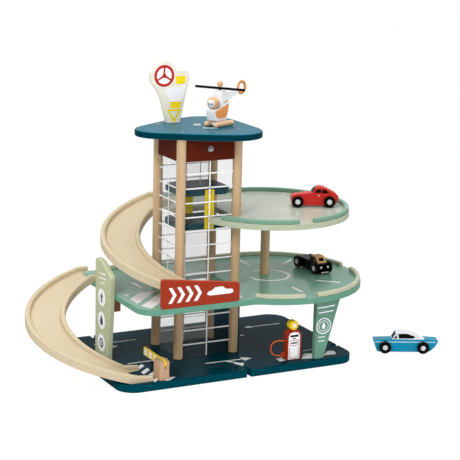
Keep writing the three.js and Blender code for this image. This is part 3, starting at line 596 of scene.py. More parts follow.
def arc(bm, centre, inner, outer, start=0, sweep=360, steps=40):
    """A ring, or the part of one that starts at an angle in degrees."""
    turn = math.radians(start)
    ends = [
        bm.verts.new(mm(centre[0] + r * math.cos(turn), centre[1] + r * math.sin(turn), 0))
        for r in (inner, outer)
    ]
    edge = bm.edges.new(ends)
    bmesh.ops.spin(
        bm, geom=[*ends, edge], cent=mm(*centre, 0), axis=(0, 0, 1),
        angle=math.radians(sweep), steps=steps, use_merge=sweep == 360,
    )


def dot(bm, centre, radius, steps=24):
    """A filled round."""
    place = Matrix.Translation(mm(*centre, 0))
    bmesh.ops.create_circle(bm, cap_ends=True, segments=steps, radius=radius * MM, matrix=place)


def arrow(bm, tail, tip, width, head):
    """A straight arrow with a three-cornered head."""
    tail, tip = Vector(tail), Vector(tip)
    along = (tip - tail).normalized()
    across = Vector((-along.y, along.x))
    neck = tip - along * head
    bar(bm, tail, neck, width)
    patch(bm, [neck - across * head * 0.6, tip, neck + across * head * 0.6])


def facing_up(z):
    """Marks on a level board."""
    return Matrix.Translation((0, 0, z))


def facing_front(y):
    """Marks on an upright board that faces -Y, drawn in X and Z."""
    return Matrix.Translation((0, y, 0)) @ Matrix.Rotation(math.pi / 2, 4, "X")


def facing_left(x):
    """Marks on an upright board that faces -X, drawn in Y and Z."""
    axes = Matrix(((0, 0, -1, 0), (1, 0, 0, 0), (0, 1, 0, 0), (0, 0, 0, 1)))
    return Matrix.Translation((x, 0, 0)) @ axes


def lay_print(bm, name, body, finish, place, thick=PRINT_THICK):
    """Raises flat marks by the ink's thickness and lays them on their board."""
    push(bm, bm.faces[:], mm(0, 0, thick))
    bmesh.ops.transform(bm, matrix=place, verts=bm.verts)
    bmesh.ops.recalc_face_normals(bm, faces=bm.faces)
    return piece_from(bm, name, body, finish)


# %% Marks on the base board
marks = bmesh.new()
arrow(marks, (-48.4, -92.2), (48.5, -96), 4, 19)
bar(marks, (-6, -94.5), (11, -115), 5)
patch(marks, [(1, -113.5), (11, -133.5), (21, -116.5)])
arrow(marks, (211.8, 85.6), (129.2, 87.5), 3.6, 15)
arrow(marks, (-200, 73), (-155.8, 73.3), 3, 12)
patch(marks, [(94, 37), (106, 40.5), (100, 46)])
for y in (-67, -92, -117, -141):
    patch(marks, [(-181, y), (-181, y - 13), (-160, y + 6), (-160, y + 19)])
patch(marks, [(-150, -138), (-160, -154), (-152, -154.5), (-133.5, -141)])
bar(marks, (-183, -36.5), (-101, -36.5), 3)
bar(marks, (-195, 98.5), (-107, 98.5), 3)
bar(marks, (-38, 129), (34, 131), 2.4)
patch(marks, [(88.5, -137), (104, -135), (104, -116), (88.5, -119)])
patch(marks, [(135.1, -137.5), (156.6, -145), (170.4, -118), (154.5, -111.2)])
patch(marks, [(183.1, -137.3), (211.7, -138.1), (218.3, -119), (206, -115.6)])
bar(marks, (162.3, -95.1), (182.4, -95.1), 2)
lay_print(marks, "base_road_marks", "garage", PRINT_WHITE,
          facing_up(high("base_board").z))

# %% Clear windows with printed bars
GRID_FOOT = 40.4
GRID_STEP = 27.5
GRID_ROWS = 13
GRID_WIDE = 2.5


def window_bars(bm, left, right, upright_at, foot):
    """Level bars from side to side and one upright bar, from a height upwards."""
    top = high("window_front").z / MM
    for row in range(GRID_ROWS):
        z = GRID_FOOT + GRID_STEP * row
        if z > foot:
            bar(bm, (left, z), (right, z), GRID_WIDE)
    bar(bm, (upright_at, foot), (upright_at, top), GRID_WIDE)


# The left window takes the paler sheet, whose tone is painted light.
for side, sheet in (("front", CLEAR_SHEET), ("back", BACK_SHEET), ("left", LIT_SIDE_SHEET)):
    NODES[f"window_{side}"].material_slots[0].material = sheet
for node, upright_at in (("window_front", -23), ("window_back", -23)):
    bm = bmesh.new()
    window_bars(bm, low(node).x / MM, high(node).x / MM, upright_at, high("base_board").z / MM)
    lay_print(bm, f"{node}_bars", "garage", PRINT_WHITE,
              facing_front(low(node).y))
bm = bmesh.new()
window_bars(
    bm, low("window_left").y / MM, high("window_left").y / MM, 6, high("mid_deck").z / MM
)
lay_print(bm, "window_left_bars", "garage", PRINT_WHITE,
          facing_left(low("window_left").x))

# %% [markdown]
# ## Decks and curbs
#
# Both decks are painted panels, round on the right where the cars park, with raised curbs along
# the rim. The marks follow the discs: a ring round the post and short dashes between the parking
# places, and zebra stripes where the ramps end.

# %% Decks
sand("mid_deck", MINT_PAINT, 1.5)
sand("top_deck", SAGE_PAINT, 1.5)
for node in ("mid_curb_front", "mid_curb_right", "mid_curb_back"):
    sand(node, CURB_PAINT, 1.6)
for node in ("top_curb_front", "top_curb_rear"):
    sand(node, SEA_PAINT, 1.6)


def spoke(bm, centre, turn, inner, outer, width):
    """A dash that points away from a centre, at an angle in degrees."""
    way = Vector((math.cos(math.radians(turn)), math.sin(math.radians(turn))))
    bar(bm, Vector(centre) + way * inner, Vector(centre) + way * outer, width)


# %% Marks on the decks
MID_RING = (130.4, -5)
TOP_RING = (129.8, 8.4)
marks = bmesh.new()
arc(marks, MID_RING, 38, 44, -181, 287, 60)
for start, end in (((134.9, 122.7), (132.6, 79.9)), ((198.5, 58.1), (234.6, 87.6)),
                   ((198.3, -75.1), (233.6, -106.5)), ((129.7, -101.8), (131, -138)),
                   ((8, -112), (6, -131)), ((-138.5, 3), (-138.5, 46))):
    bar(marks, start, end, 6)
lay_print(marks, "mid_deck_marks", "garage", PRINT_WHITE,
          facing_up(high("mid_deck").z))
marks = bmesh.new()
patch(marks, [(-190.5, -60), (-190.5, -94.5), (-121, -25), (-155, -25)])
patch(marks, [(-190.5, -111), (-180, -133), (-100, -53), (-100, -20.5)])
patch(marks, [(-190.5, -27), (-190.5, -43.5), (-172, -25), (-189, -25)])
lay_print(marks, "mid_deck_zebra", "garage", PRINT_PINK,
          facing_up(high("mid_deck").z))
marks = bmesh.new()
arc(marks, TOP_RING, 37.4, 41.4, 0, 360, 60)
for start, end in (((196.9, 73.3), (226.2, 102.6)), ((126.8, -89.2), (125, -124.1)),
                   ((191.4, -60), (224, -87)), ((35.4, -58.9), (43.5, -77.2)),
                   ((132.4, 120), (127, 90))):
    bar(marks, start, end, 3.4)
lay_print(marks, "top_deck_marks", "garage", PRINT_FAINT,
          facing_up(high("top_deck").z))

# %% [markdown]
# ## Curved ramps
#
# Each ramp is routed from thick pale wood: a channel with round-topped rails and a small cove
# where the floor meets them, sinking half a turn from deck to deck. That is one section moved
# along a helix, which a spin does in one step when it sinks a little at each step. Past the half
# turn, only the rails run on, on top of the deck at the head and on the board at the foot.

# %% Ramp section
RAMP_OUTER = (high("upper_ramp").y - low("upper_ramp").y) / 2 / MM
RAMP_INNER = RAMP_OUTER - 75.5
RAIL_WIDE = 9.5
RAIL_HIGH = 11
RAIL_ROUND = 4
COVE = 3
RAMP_FLOOR = 6
RAMP_LIP = 1
RAMP_STEPS = 60
HEAD_FLOOR = 4
HEAD_RAILS = 16
FOOT_FLOOR = 2
FOOT_SINK = 2.5


def quarter(centre, radius, start, sweep, steps=4):
    """Points on a quarter round."""
    turns = [math.radians(start + sweep * step / steps) for step in range(steps + 1)]
    return [(centre[0] + radius * math.cos(t), centre[1] + radius * math.sin(t)) for t in turns]


def rail_outline():
    """The rail's outline above the floor, from its outer face, as (inward, up) points."""
    top = RAIL_HIGH - RAIL_ROUND
    return [
        *quarter((RAIL_ROUND, top), RAIL_ROUND, 180, -90),
        *quarter((RAIL_WIDE - RAIL_ROUND, top), RAIL_ROUND, 90, -90),
        *quarter((RAIL_WIDE + COVE, COVE), COVE, 180, 90),
    ]


def ramp_section(bm, x, y, z):
    """The section's faces at the ramp's head: two rails, their feet and the floor."""
    reach = RAIL_WIDE + COVE
    grid = {}

    def vert(out, up):
        key = (round(out, 3), round(up, 3))
        if key not in grid:
            grid[key] = bm.verts.new(mm(x, y + out, z + up))
        return grid[key]

    def face(points):
        return bm.faces.new([vert(out, up) for out, up in points])

    rails, feet = [], []
    for edge, way in ((RAMP_INNER, 1), (RAMP_OUTER, -1)):
        outline = [(edge + way * out, up) for out, up in rail_outline()]
        rails.append(face([(edge, 0), *outline]))
        feet.append(face([
            (edge, -RAMP_FLOOR), (edge + way * reach, -RAMP_FLOOR), (edge + way * reach, 0),
            (edge, 0),
        ]))
    floor = face([
        (RAMP_INNER + reach, -RAMP_FLOOR), (RAMP_OUTER - reach, -RAMP_FLOOR),
        (RAMP_OUTER - reach, 0), (RAMP_INNER + reach, 0),
    ])
    return rails, feet, floor


# %% Ramps
def ramp(node, top, ground):
    """A channel that sinks half a turn from the deck above to the board below."""
    x, y = low(node).x / MM + RAMP_OUTER, middle(node).y / MM
    foot_rails = high(node).x / MM - x - FOOT_FLOOR
    bm = bmesh.new()
    rails, feet, floor = ramp_section(bm, x + HEAD_FLOOR, y, top)
    bmesh.ops.recalc_face_normals(bm, faces=bm.faces)
    head_rails = [f.calc_center_median() for f in rails]
    ends = push(bm, [*rails, *feet, floor], mm(-HEAD_FLOOR, 0, 0))
    drop = (top - ground - RAMP_LIP) / RAMP_STEPS
    edges = list({e for f in ends for e in f.edges})
    verts = list({v for f in ends for v in f.verts})
    result = bmesh.ops.spin(
        bm, geom=[*verts, *edges, *ends], cent=mm(x, y, 0), axis=(0, 0, 1),
        dvec=mm(0, 0, -drop), angle=math.pi, steps=RAMP_STEPS,
    )
    ends = [g for g in result["geom_last"] if isinstance(g, bmesh.types.BMFace)]
    ends = grow(bm, ends, mm(FOOT_FLOOR, 0, 0))
    foot_middle = y - (RAMP_INNER + RAMP_OUTER) / 2
    floor_reach = (RAMP_OUTER - RAMP_INNER) / 2 - RAIL_WIDE - COVE
    sides = [
        f for f in ends
        if abs(f.calc_center_median().y / MM - foot_middle) > floor_reach
    ]
    grow(bm, sides, mm(foot_rails, 0, -FOOT_SINK))
    first = [
        f for f in bm.faces
        if any((f.calc_center_median() - spot).length < WELD for spot in head_rails)
    ]
    grow(bm, first, mm(HEAD_RAILS, 0, 0))
    cut = bmesh.ops.bisect_plane(
        bm, geom=bm.verts[:] + bm.edges[:] + bm.faces[:], plane_co=mm(0, 0, ground),
        plane_no=(0, 0, -1), clear_outer=True,
    )
    rims = [g for g in cut["geom_cut"] if isinstance(g, bmesh.types.BMEdge)]
    bmesh.ops.triangle_fill(
        bm, use_beauty=True, edges=[e for e in rims if e.is_valid and e.is_boundary]
    )
    bmesh.ops.remove_doubles(bm, verts=bm.verts, dist=WELD)
    bmesh.ops.dissolve_limit(
        bm, angle_limit=math.radians(0.3), verts=bm.verts, edges=bm.edges
    )
    bmesh.ops.recalc_face_normals(bm, faces=bm.faces)
    soften(bm, 1.0 * MM, 2, 50)
    opened = sum(1 for e in bm.edges if len(e.link_faces) != 2)
    print(node, len(bm.faces), "faces,", opened, "open edges")
    return stand_for(piece_from(bm, f"{node}_channel", "garage", RAMP_WOOD), node)


ramp("upper_ramp", high("top_deck").z / MM, high("mid_deck").z / MM)
ramp("lower_ramp", high("mid_deck").z / MM, high("base_board").z / MM)

# %% [markdown]
# ## Roof, lift and winding shaft
#
# The roof is the glossiest board of the toy. Small cross-head screws hold it to the posts. Under
# it, the lift car is two painted boards joined by yellow slats, and it hangs on a cord from a
# steel shaft whose dome nut shows on the front header.

# %% Screws
SCREW_RADIUS = 3.4


def screw(bm, place):
    """A flush screw head with a shallow round recess in its top, facing the place's Z."""
    head = bmesh.ops.create_cone(
        bm, cap_ends=True, segments=20, radius1=SCREW_RADIUS * MM,
        radius2=SCREW_RADIUS * 0.86 * MM, depth=0.5 * MM,
        matrix=place @ Matrix.Translation(mm(0, 0, 0.25)),
    )
    cap = max(
        {f for v in head["verts"] for f in v.link_faces},
        key=lambda f: (len(f.verts), (place.inverted() @ f.calc_center_median()).z),
    )
    bmesh.ops.inset_region(bm, faces=[cap], thickness=0.5 * MM, depth=-0.12 * MM)


def cross(bm, place):
    """The dark cross in a screw head."""
    marks = bmesh.new()
    reach = SCREW_RADIUS * 0.6
    bar(marks, (-reach, 0), (reach, 0), 1.0)
    bar(marks, (0, -reach), (0, -0.5), 1.0)
    bar(marks, (0, 0.5), (0, reach), 1.0)
    push(marks, marks.faces[:], mm(0, 0, 0.1))
    bmesh.ops.transform(marks, matrix=place @ Matrix.Translation(mm(0, 0, 0.4)), verts=marks.verts)
    mesh = bpy.data.meshes.new("cross")
    marks.to_mesh(mesh)
    marks.free()
    bm.from_mesh(mesh)
    bpy.data.meshes.remove(mesh)


def screws(name, body, places):
    """One piece with the heads of several screws, and one with their crosses."""
    heads, crosses = bmesh.new(), bmesh.new()
    for place in places:
        screw(heads, place)
        cross(crosses, place)
    piece_from(heads, f"{name}_heads", body, STEEL)
    bmesh.ops.recalc_face_normals(crosses, faces=crosses.faces)
    piece_from(crosses, f"{name}_crosses", body, BLACK_PAINT)


# %% Roof
sand("roof_deck", ROOF_PAINT, 2.2, 4)
roof_top = high("roof_deck").z
screws("roof_screws", "garage", [
    Matrix.Translation((middle(f"tower_post_{post}").x, middle(f"tower_post_{post}").y, roof_top))
    @ Matrix.Rotation(post, 4, "Z") for post in (1, 2, 3, 4)
])
marks = bmesh.new()
patch(marks, [(-27, 20), (-14, 15.5), (-7, 32), (-20, 36.5)])
patch(marks, [(-25, -17), (1, -26), (5, -16), (-20, -7)])
lay_print(marks, "roof_landing_marks", "garage", PRINT_FAINT, facing_up(roof_top))

# %% Lift car
for node in ("lift_floor", "lift_ceiling"):
    sand(node, LIFT_TEAL, 1.0)
for node in ("lift_slat_front", "lift_slat_back"):
    sand(node, LIFT_YELLOW, 0.8)
slat_middle = middle("lift_slat_front")
screws("lift_screws", "lift_car", [
    facing_front(low("lift_slat_front").y)
    @ Matrix.Translation((slat_middle.x, middle(board).z, 0))
    for board in ("lift_floor", "lift_ceiling")
])
marks = bmesh.new()
floor_middle = middle("lift_floor") / MM
arrow(marks, (floor_middle.x - 28, floor_middle.y), (floor_middle.x + 26, floor_middle.y), 4, 14)
lay_print(marks, "lift_floor_arrow", "lift_car", PRINT_WHITE,
          facing_up(high("lift_floor").z))

# %% Lift cord
CORD_STRANDS = 3
CORD_TURNS = 12
CORD_STEPS = 48

cord_box = (low("lift_cord"), high("lift_cord"))
cord_radius = (cord_box[1].x - cord_box[0].x) / 2
cord_axis = middle("lift_cord")
bm = bmesh.new()
for strand in range(CORD_STRANDS):
    start = 2 * math.pi * strand / CORD_STRANDS
    ring = bmesh.ops.create_circle(bm, cap_ends=True, segments=8, radius=cord_radius * 0.62)
    away = Vector((math.cos(start), math.sin(start), 0)) * cord_radius * 0.45
    bmesh.ops.translate(
        bm, vec=Vector((cord_axis.x, cord_axis.y, cord_box[0].z)) + away, verts=ring["verts"]
    )
    face = [f for f in bm.faces if all(v in ring["verts"] for v in f.verts)]
    edges = {e for f in face for e in f.edges}
    bmesh.ops.spin(
        bm, geom=[*ring["verts"], *edges, *face], cent=cord_axis, axis=(0, 0, 1),
        dvec=(0, 0, (cord_box[1].z - cord_box[0].z) / CORD_STEPS),
        angle=2 * math.pi * CORD_TURNS / CORD_STRANDS, steps=CORD_STEPS,
    )
bmesh.ops.recalc_face_normals(bm, faces=bm.faces)
mesh = bpy.data.meshes.new("lift_cord_twist")
bm.to_mesh(mesh)
bm.free()
mesh.shade_smooth()
mesh.materials.append(CORD_WHITE)
lift_cord = bpy.data.objects.new("lift_cord_twist", mesh)
bpy.context.scene.collection.objects.link(lift_cord)
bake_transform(lift_cord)
stand_for(lift_cord, "lift_cord")


# %% Winding shaft, wheel and peg
def along_y(bm, axis_x, y, axis_z):
    """Lays a turned piece along Y, with its height 0 at y."""
    place = Matrix.Translation((axis_x, y, axis_z)) @ ALONG_Y
    bmesh.ops.transform(bm, matrix=place, verts=bm.verts)
    return bm


shaft_low, shaft_high = low("winding_shaft"), high("winding_shaft")
shaft_axis = middle("winding_wheel")
shaft_long = (shaft_high.y - shaft_low.y) / MM
drum_front = (middle("lift_cord").y - shaft_low.y) / MM - 12
NUT = 4.6
dome = [
    (NUT * math.sin(math.radians(t)), NUT - NUT * math.cos(math.radians(t)))
    for t in range(0, 91, 15)
]
bm = turned([
    *dome, (NUT, 6), (5.8, 6), (5.8, 7.2), (3, 7.2), (3, drum_front), (6, drum_front),
    (6, drum_front + 24), (3, drum_front + 24), (3, shaft_long), (0, shaft_long),
])
along_y(bm, shaft_axis.x, shaft_low.y, shaft_axis.z)
stand_for(piece_from(bm, "winding_shaft_turned", "winder", STEEL), "winding_shaft")
wheel_long = (high("winding_wheel").y - low("winding_wheel").y) / MM
bm = turned([
    (3.3, 0), (15, 0), (16.4, 0.6), (17, 2), (17, wheel_long - 2), (16.4, wheel_long - 0.6),
    (15, wheel_long), (8, wheel_long), (7, wheel_long - 1.2), (3.3, wheel_long - 1.2), (3.3, 0),
])
along_y(bm, shaft_axis.x, low("winding_wheel").y, shaft_axis.z)
stand_for(piece_from(bm, "winding_wheel_turned", "winder", BEECH_Y), "winding_wheel")
peg = middle("winding_peg")
bm = rounded_rod(4, (high("winding_peg").y - low("winding_peg").y) / MM, 1.5, 32)
along_y(bm, peg.x, low("winding_peg").y, peg.z)
stand_for(piece_from(bm, "winding_peg_turned", "winder", BEECH_Y), "winding_peg")

# %% [markdown]
# ## Signs
#
# Five boards carry pictures instead of words: a red board with a car, a tall pylon with three
# round symbols, the roof sign with a disc and an arrow, and a tapered board with a ring under the
# deck. The symbols are common traffic shapes, laid as thin ink.

# %% Front sign
sand("front_sign", SIGN_RED, 1.4)
marks = bmesh.new()
for step in range(4):
    x = -154 + step * 17
    patch(marks, [(x, 158), (x + 7, 158), (x + 16, 172.5), (x + 7, 187), (x, 187), (x + 9, 172.5)])
patch(marks, [
    (-76, 167), (-75, 172), (-66, 174.5), (-60, 179.5), (-45, 180), (-38, 174.5), (-24, 173),
    (-22, 167), (-28, 165), (-70, 165),
])
lay_print(marks, "front_sign_picture", "garage", PRINT_WHITE,
          facing_front(low("front_sign").y))

# %% Pylon with three symbols
sand("pylon_sign", SIGN_SAGE, 2.0)
sand("pylon_block", BROWN_PAINT, 1.0)
SYMBOL_Y = 17
SYMBOL_HEIGHTS = (133.6, 89.3, 44.9)
SYMBOL_RADIUS = 17
marks = bmesh.new()
for z in SYMBOL_HEIGHTS:
    dot(marks, (SYMBOL_Y, z), SYMBOL_RADIUS, 40)
for z, left, right in ((180, 0, 26), (171, -4, 30), (162, 4, 22)):
    bar(marks, (left, z + 2), (right, z - 1), 2.2)
lay_print(marks, "pylon_rounds", "garage", PRINT_WHITE,
          facing_left(low("pylon_sign").x))
marks = bmesh.new()
top_z, middle_z, foot_z = SYMBOL_HEIGHTS
arrow(marks, (SYMBOL_Y, top_z - 9), (SYMBOL_Y, top_z + 10), 5, 10)
patch(marks, [(SYMBOL_Y, middle_z + 11), (SYMBOL_Y - 7, middle_z - 2), (SYMBOL_Y - 5, middle_z - 8),
              (SYMBOL_Y, middle_z - 10), (SYMBOL_Y + 5, middle_z - 8), (SYMBOL_Y + 7, middle_z - 2)])
arc(marks, (SYMBOL_Y, foot_z), 5.5, 9)
dot(marks, (SYMBOL_Y, foot_z), 2.4)
lay_print(marks, "pylon_symbols", "garage", PRINT_TEAL,
          facing_left(low("pylon_sign").x - PRINT_THICK * MM))

# %% Roof sign
sand("roof_sign", CREAM_PAINT, 1.2)
SIGN_DISC = (-73, 541.5)
marks = bmesh.new()
dot(marks, SIGN_DISC, 22.5, 48)
patch(marks, [(-66, 517), (-30, 524), (-27, 521), (-36, 492), (-61, 492), (-71, 512)])
lay_print(marks, "roof_sign_white", "garage", PRINT_WHITE,
          facing_front(low("roof_sign").y))
marks = bmesh.new()
arc(marks, SIGN_DISC, 15.5, 21)
dot(marks, SIGN_DISC, 4.2)
for turn in (90, 210, 330):
    spoke(marks, SIGN_DISC, turn, 3, 17, 3.6)
sign_ink = low("roof_sign").y - PRINT_THICK * MM
lay_print(marks, "roof_sign_ring", "garage", PRINT_RED, facing_front(sign_ink))
marks = bmesh.new()
patch(marks, [(-48, 525), (-29.5, 525), (-28, 540), (-50, 540)])
patch(marks, [(-58, 479), (-39, 479), (-37.5, 491.5), (-59.5, 491.5)])
arc(marks, (-51.3, 468.2), 10.4, 17.8, start=-90, steps=3)
lay_print(marks, "roof_sign_arrow", "garage", PRINT_YELLOW,
          facing_front(low("roof_sign").y))

# %% Boards under the deck
sand("front_prop", PROP_MINT, 1.2)
sand("rear_wall", BASE_PAINT, 1.0)
PROP_RING = (173, 79.6)
marks = bmesh.new()
arc(marks, PROP_RING, 14, 16)
arc(marks, PROP_RING, 9.5, 10.6)
patch(marks, [(173, 88), (169, 79), (170.5, 74.5), (173, 73.2), (175.5, 74.5), (177, 79)])
for z, reach in ((116, 20), (106, 17)):
    bar(marks, (178 - reach, z), (178 + reach * 0.9, z + 2), 2.4)
for z, left in ((58, 162), (50, 162)):
    bar(marks, (left, z), (left + 14, z), 1.6)
lay_print(marks, "front_prop_picture", "garage", PRINT_WHITE,
          facing_front(low("front_prop").y))

# %% [markdown]
# ## Barrier and fuel pump
#
# The barrier is a raw wood block with a painted arm that swings on a steel pin. The pump is a
# round-shouldered block with a printed front, a yellow globe, and a nozzle on the orange hose.

# %% Barrier
sand("barrier_block", RAW_BLOCK, 1.2)
sand("barrier_arm", ARM_YELLOW, 0.8)
NODES["barrier_pin"].material_slots[0].material = STEEL
marks = bmesh.new()
for y in (-114, -94, -74):
    patch(marks, [(y, 38.5), (y + 11, 38.5), (y + 11, 50.5), (y, 50.5)])
lay_print(marks, "barrier_arm_squares", "barrier", PRINT_WHITE,
          facing_left(low("barrier_arm").x))

# %% Pump
sand("pump_body", PUMP_RED, 1.4)
pump_front = low("pump_body").y
globe = middle("pump_globe")
globe_radius = (high("pump_globe").z - low("pump_globe").z) / 2 / MM
globe_long = (high("pump_globe").y - low("pump_globe").y) / MM
bm = turned([
    (0, 0), (globe_radius - 2.2, 0), (globe_radius - 0.7, 0.6), (globe_radius, 2.4),
    (globe_radius, globe_long - 2.4), (globe_radius - 0.7, globe_long - 0.6),
    (globe_radius - 2.2, globe_long), (0, globe_long),
])
along_y(bm, globe.x, low("pump_globe").y, globe.z)
stand_for(piece_from(bm, "pump_globe_turned", "garage", ARM_YELLOW), "pump_globe")
globe_spot = (globe.x / MM, globe.z / MM)
marks = bmesh.new()
patch(marks, [(104.5, 17), (129, 17), (129, 62), (126, 68), (120, 70), (113, 70), (107, 68), (104.5, 62)])
patch(marks, [
    (globe_spot[0] + r * math.sin(math.radians(36 * i)), globe_spot[1] + r * math.cos(math.radians(36 * i)))
    for i, r in enumerate((6, 2.6) * 5)
])
lay_print(marks, "pump_white_panel", "garage", PRINT_WHITE, facing_front(pump_front))
marks = bmesh.new()
for start, end in (((108, 44), (126.6, 44)), ((108, 53.8), (126.6, 53.8)),
                   ((108, 44), (108, 53.8)), ((126.6, 44), (126.6, 53.8)),
                   ((107, 19), (126.6, 19)), ((107, 19), (107, 40)), ((126.6, 19), (126.6, 40))):
    bar(marks, start, end, 1.0)
pump_ink = pump_front - PRINT_THICK * MM
lay_print(marks, "pump_red_lines", "garage", PUMP_RED, facing_front(pump_ink))
marks = bmesh.new()
patch(marks, [(108, 60.7), (125.5, 60.7), (125.5, 64.8), (108, 64.8)])
patch(marks, [(113, 56.6), (120, 56.6), (120, 58.6), (113, 58.6)])
patch(marks, [(110.5, 47.5), (124, 47.5), (124, 50.3), (110.5, 50.3)])
lay_print(marks, "pump_black_display", "garage", BLACK_PAINT, facing_front(pump_ink))

# %% Nozzle
nozzle_low, nozzle_high = low("pump_nozzle"), high("pump_nozzle")
nozzle_long = (nozzle_high.x - nozzle_low.x) / MM
bm = turned([
    (0, 0), (2.6, 0), (3.3, 0.5), (3.6, 1.6), (4.6, 3.2), (5.3, 4), (5.3, nozzle_long - 0.6),
    (4.8, nozzle_long), (0, nozzle_long),
], 32)
nozzle_middle = middle("pump_nozzle")
place = Matrix.Translation((nozzle_low.x, nozzle_middle.y, nozzle_middle.z)) @ ALONG_X
bmesh.ops.transform(bm, matrix=place, verts=bm.verts)
nozzle = stand_for(piece_from(bm, "pump_nozzle_turned", "garage", PUMP_RED), "pump_nozzle")

# %% [markdown]
# ## Toy cars
#
# Each car is a slab of wood cut to a side view, with its edges sanded well round, and wheels that
# stand outside it. The wheels' nodes give the car its place: its X runs from the rear axle to the
# front one. Windows, stripes and handles are thin paint plates, drawn once in X and Z and laid on
# both sides. The cabin of the blue car is painted white above a line, so its solid is cut there
# first and the upper faces take a second finish.

# %% Places and helpers for the cars
CAR_HALF = 12
WHEEL_INNER = 12.3
WHEEL_WIDE = 6.7
AXLE_ROOM = 3.2
SIDE_INK = 0.25


def car_place(name):
    """The car's own frame, with its foot on the ground below the wheels' middle."""
    rear, front = middle(f"{name}_rear_wheels"), middle(f"{name}_front_wheels")
    centre = (rear + front) / 2
    centre.z = low(f"{name}_rear_wheels").z
    way = front - rear
    return Matrix.Translation(centre) @ Matrix.Rotation(math.atan2(way.y, way.x), 4, "Z")


def add_to(bm, part, place):
    """Copies a bmesh into another one at a place, and frees it."""
    bmesh.ops.transform(part, matrix=place, verts=part.verts)
    mesh = bpy.data.meshes.new("part")
    part.to_mesh(mesh)
    part.free()
    bm.from_mesh(mesh)
    bpy.data.meshes.remove(mesh)


def plate(bm, corners, thick=SIDE_INK):
    """A thin plate on a flat or sloped face, from corners in millimetres."""
    face = bm.faces.new([bm.verts.new(mm(*corner)) for corner in corners])
    face.normal_update()
    push(bm, [face], face.normal * thick * MM)


def on_sides(bm, half, *outlines):
    """Plates on both sides of a body, from outlines in X and Z."""
    for outline in outlines:
        plate(bm, [(x, -half, z) for x, z in outline])
        plate(bm, [(x, half, z) for x, z in reversed(outline)])


def paint_on(bm, name, body, finish, place):
    """Hands painted plates, drawn in a frame of their own, to a piece."""
    bmesh.ops.transform(bm, matrix=place, verts=bm.verts)
    bmesh.ops.recalc_face_normals(bm, faces=bm.faces)
    return piece_from(bm, name, body, finish)


def car_body(name, width, finish, roof_from=None, roof_finish=None):
    """A softened body. Faces above a height can take a second finish."""
    place = car_place(name)
    axles = [
        place.inverted() @ middle(f"{name}_{end}_wheels") for end in ("rear", "front")
    ]
    bm = bmesh.new()
    bm.from_mesh(NODES[f"{name}_body"].data)
    bmesh.ops.remove_doubles(bm, verts=bm.verts, dist=WELD)
    bmesh.ops.dissolve_limit(
        bm, angle_limit=math.radians(1), verts=bm.verts, edges=bm.edges
    )
    bmesh.ops.transform(bm, matrix=place.inverted(), verts=bm.verts)
    if roof_from:
        bmesh.ops.bisect_plane(
            bm, geom=bm.verts[:] + bm.edges[:] + bm.faces[:], plane_co=mm(0, 0, roof_from),
            plane_no=(0, 0, 1),
        )

    def far_from_axles(edge):
        spot = (edge.verts[0].co + edge.verts[1].co) / 2
        return all(math.hypot(spot.x - a.x, spot.z - a.z) > AXLE_ROOM * MM for a in axles)

    edges = [
        e for e in bm.edges
        if len(e.link_faces) == 2 and e.calc_face_angle(0) > math.radians(25)
        and far_from_axles(e)
    ]
    bmesh.ops.bevel(
        bm, geom=edges, offset=width * MM, offset_type="OFFSET", segments=4, profile=0.5,
        affect="EDGES", clamp_overlap=True, material=-1,
    )
    if roof_from:
        for face in bm.faces:
            face.material_index = int(face.calc_center_median().z > roof_from * MM)
    bmesh.ops.transform(bm, matrix=place, verts=bm.verts)
    finishes = [finish, roof_finish] if roof_finish else [finish]
    return stand_for(piece_from(bm, f"{name}_sanded", BODY_OF[f"{name}_body"], *finishes),
                     f"{name}_body")


def tyre_outline(radius):
    """Half the section of a black wheel with a round recess for its hub."""
    return [
        (2.2, 0), (radius - 1.3, 0), (radius - 0.4, 0.4), (radius, 1.4),
        (radius, WHEEL_WIDE - 1.4), (radius - 0.4, WHEEL_WIDE - 0.4),
        (radius - 1.3, WHEEL_WIDE), (5.6, WHEEL_WIDE), (5.2, WHEEL_WIDE - 0.3),
        (5.2, WHEEL_WIDE - 1.2), (2.2, WHEEL_WIDE - 1.2), (2.2, 0),
    ]


HUB_OUTLINE = [
    (0, WHEEL_WIDE - 1.3), (5, WHEEL_WIDE - 1.3), (5, WHEEL_WIDE - 0.3),
    (4.7, WHEEL_WIDE + 0.1), (3.9, WHEEL_WIDE + 0.2), (2.6, WHEEL_WIDE - 0.3),
    (2.2, WHEEL_WIDE - 0.2), (1.8, WHEEL_WIDE + 0.3), (0, WHEEL_WIDE + 0.5),
]


def car_wheels(name, end):
    """Two tyres that stand for the node, and two hubs with their axle."""
    node = f"{name}_{end}_wheels"
    place = car_place(name)
    axle = place.inverted() @ middle(node)
    radius = (high(node).z - low(node).z) / 2 / MM
    tyres, hubs = bmesh.new(), bmesh.new()
    for way in (1, -1):
        outward = (
            Matrix.Translation(axle) @ Matrix.Rotation(-way * math.pi / 2, 4, "X")
            @ Matrix.Translation(mm(0, 0, WHEEL_INNER))
        )
        add_to(tyres, turned(tyre_outline(radius), 40), place @ outward)
        add_to(hubs, turned(HUB_OUTLINE, 24), place @ outward)
    rod_long = 2 * (WHEEL_INNER + 3)
    along = Matrix.Translation(axle) @ ALONG_Y @ Matrix.Translation(mm(0, 0, -rod_long / 2))
    add_to(hubs, rounded_rod(2, rod_long, 0.2, 16), place @ along)
    stand_for(piece_from(tyres, f"{name}_{end}_tyres", BODY_OF[node], WHEEL_BLACK), node)
    piece_from(hubs, f"{name}_{end}_hubs", BODY_OF[node], HUB_SILVER)


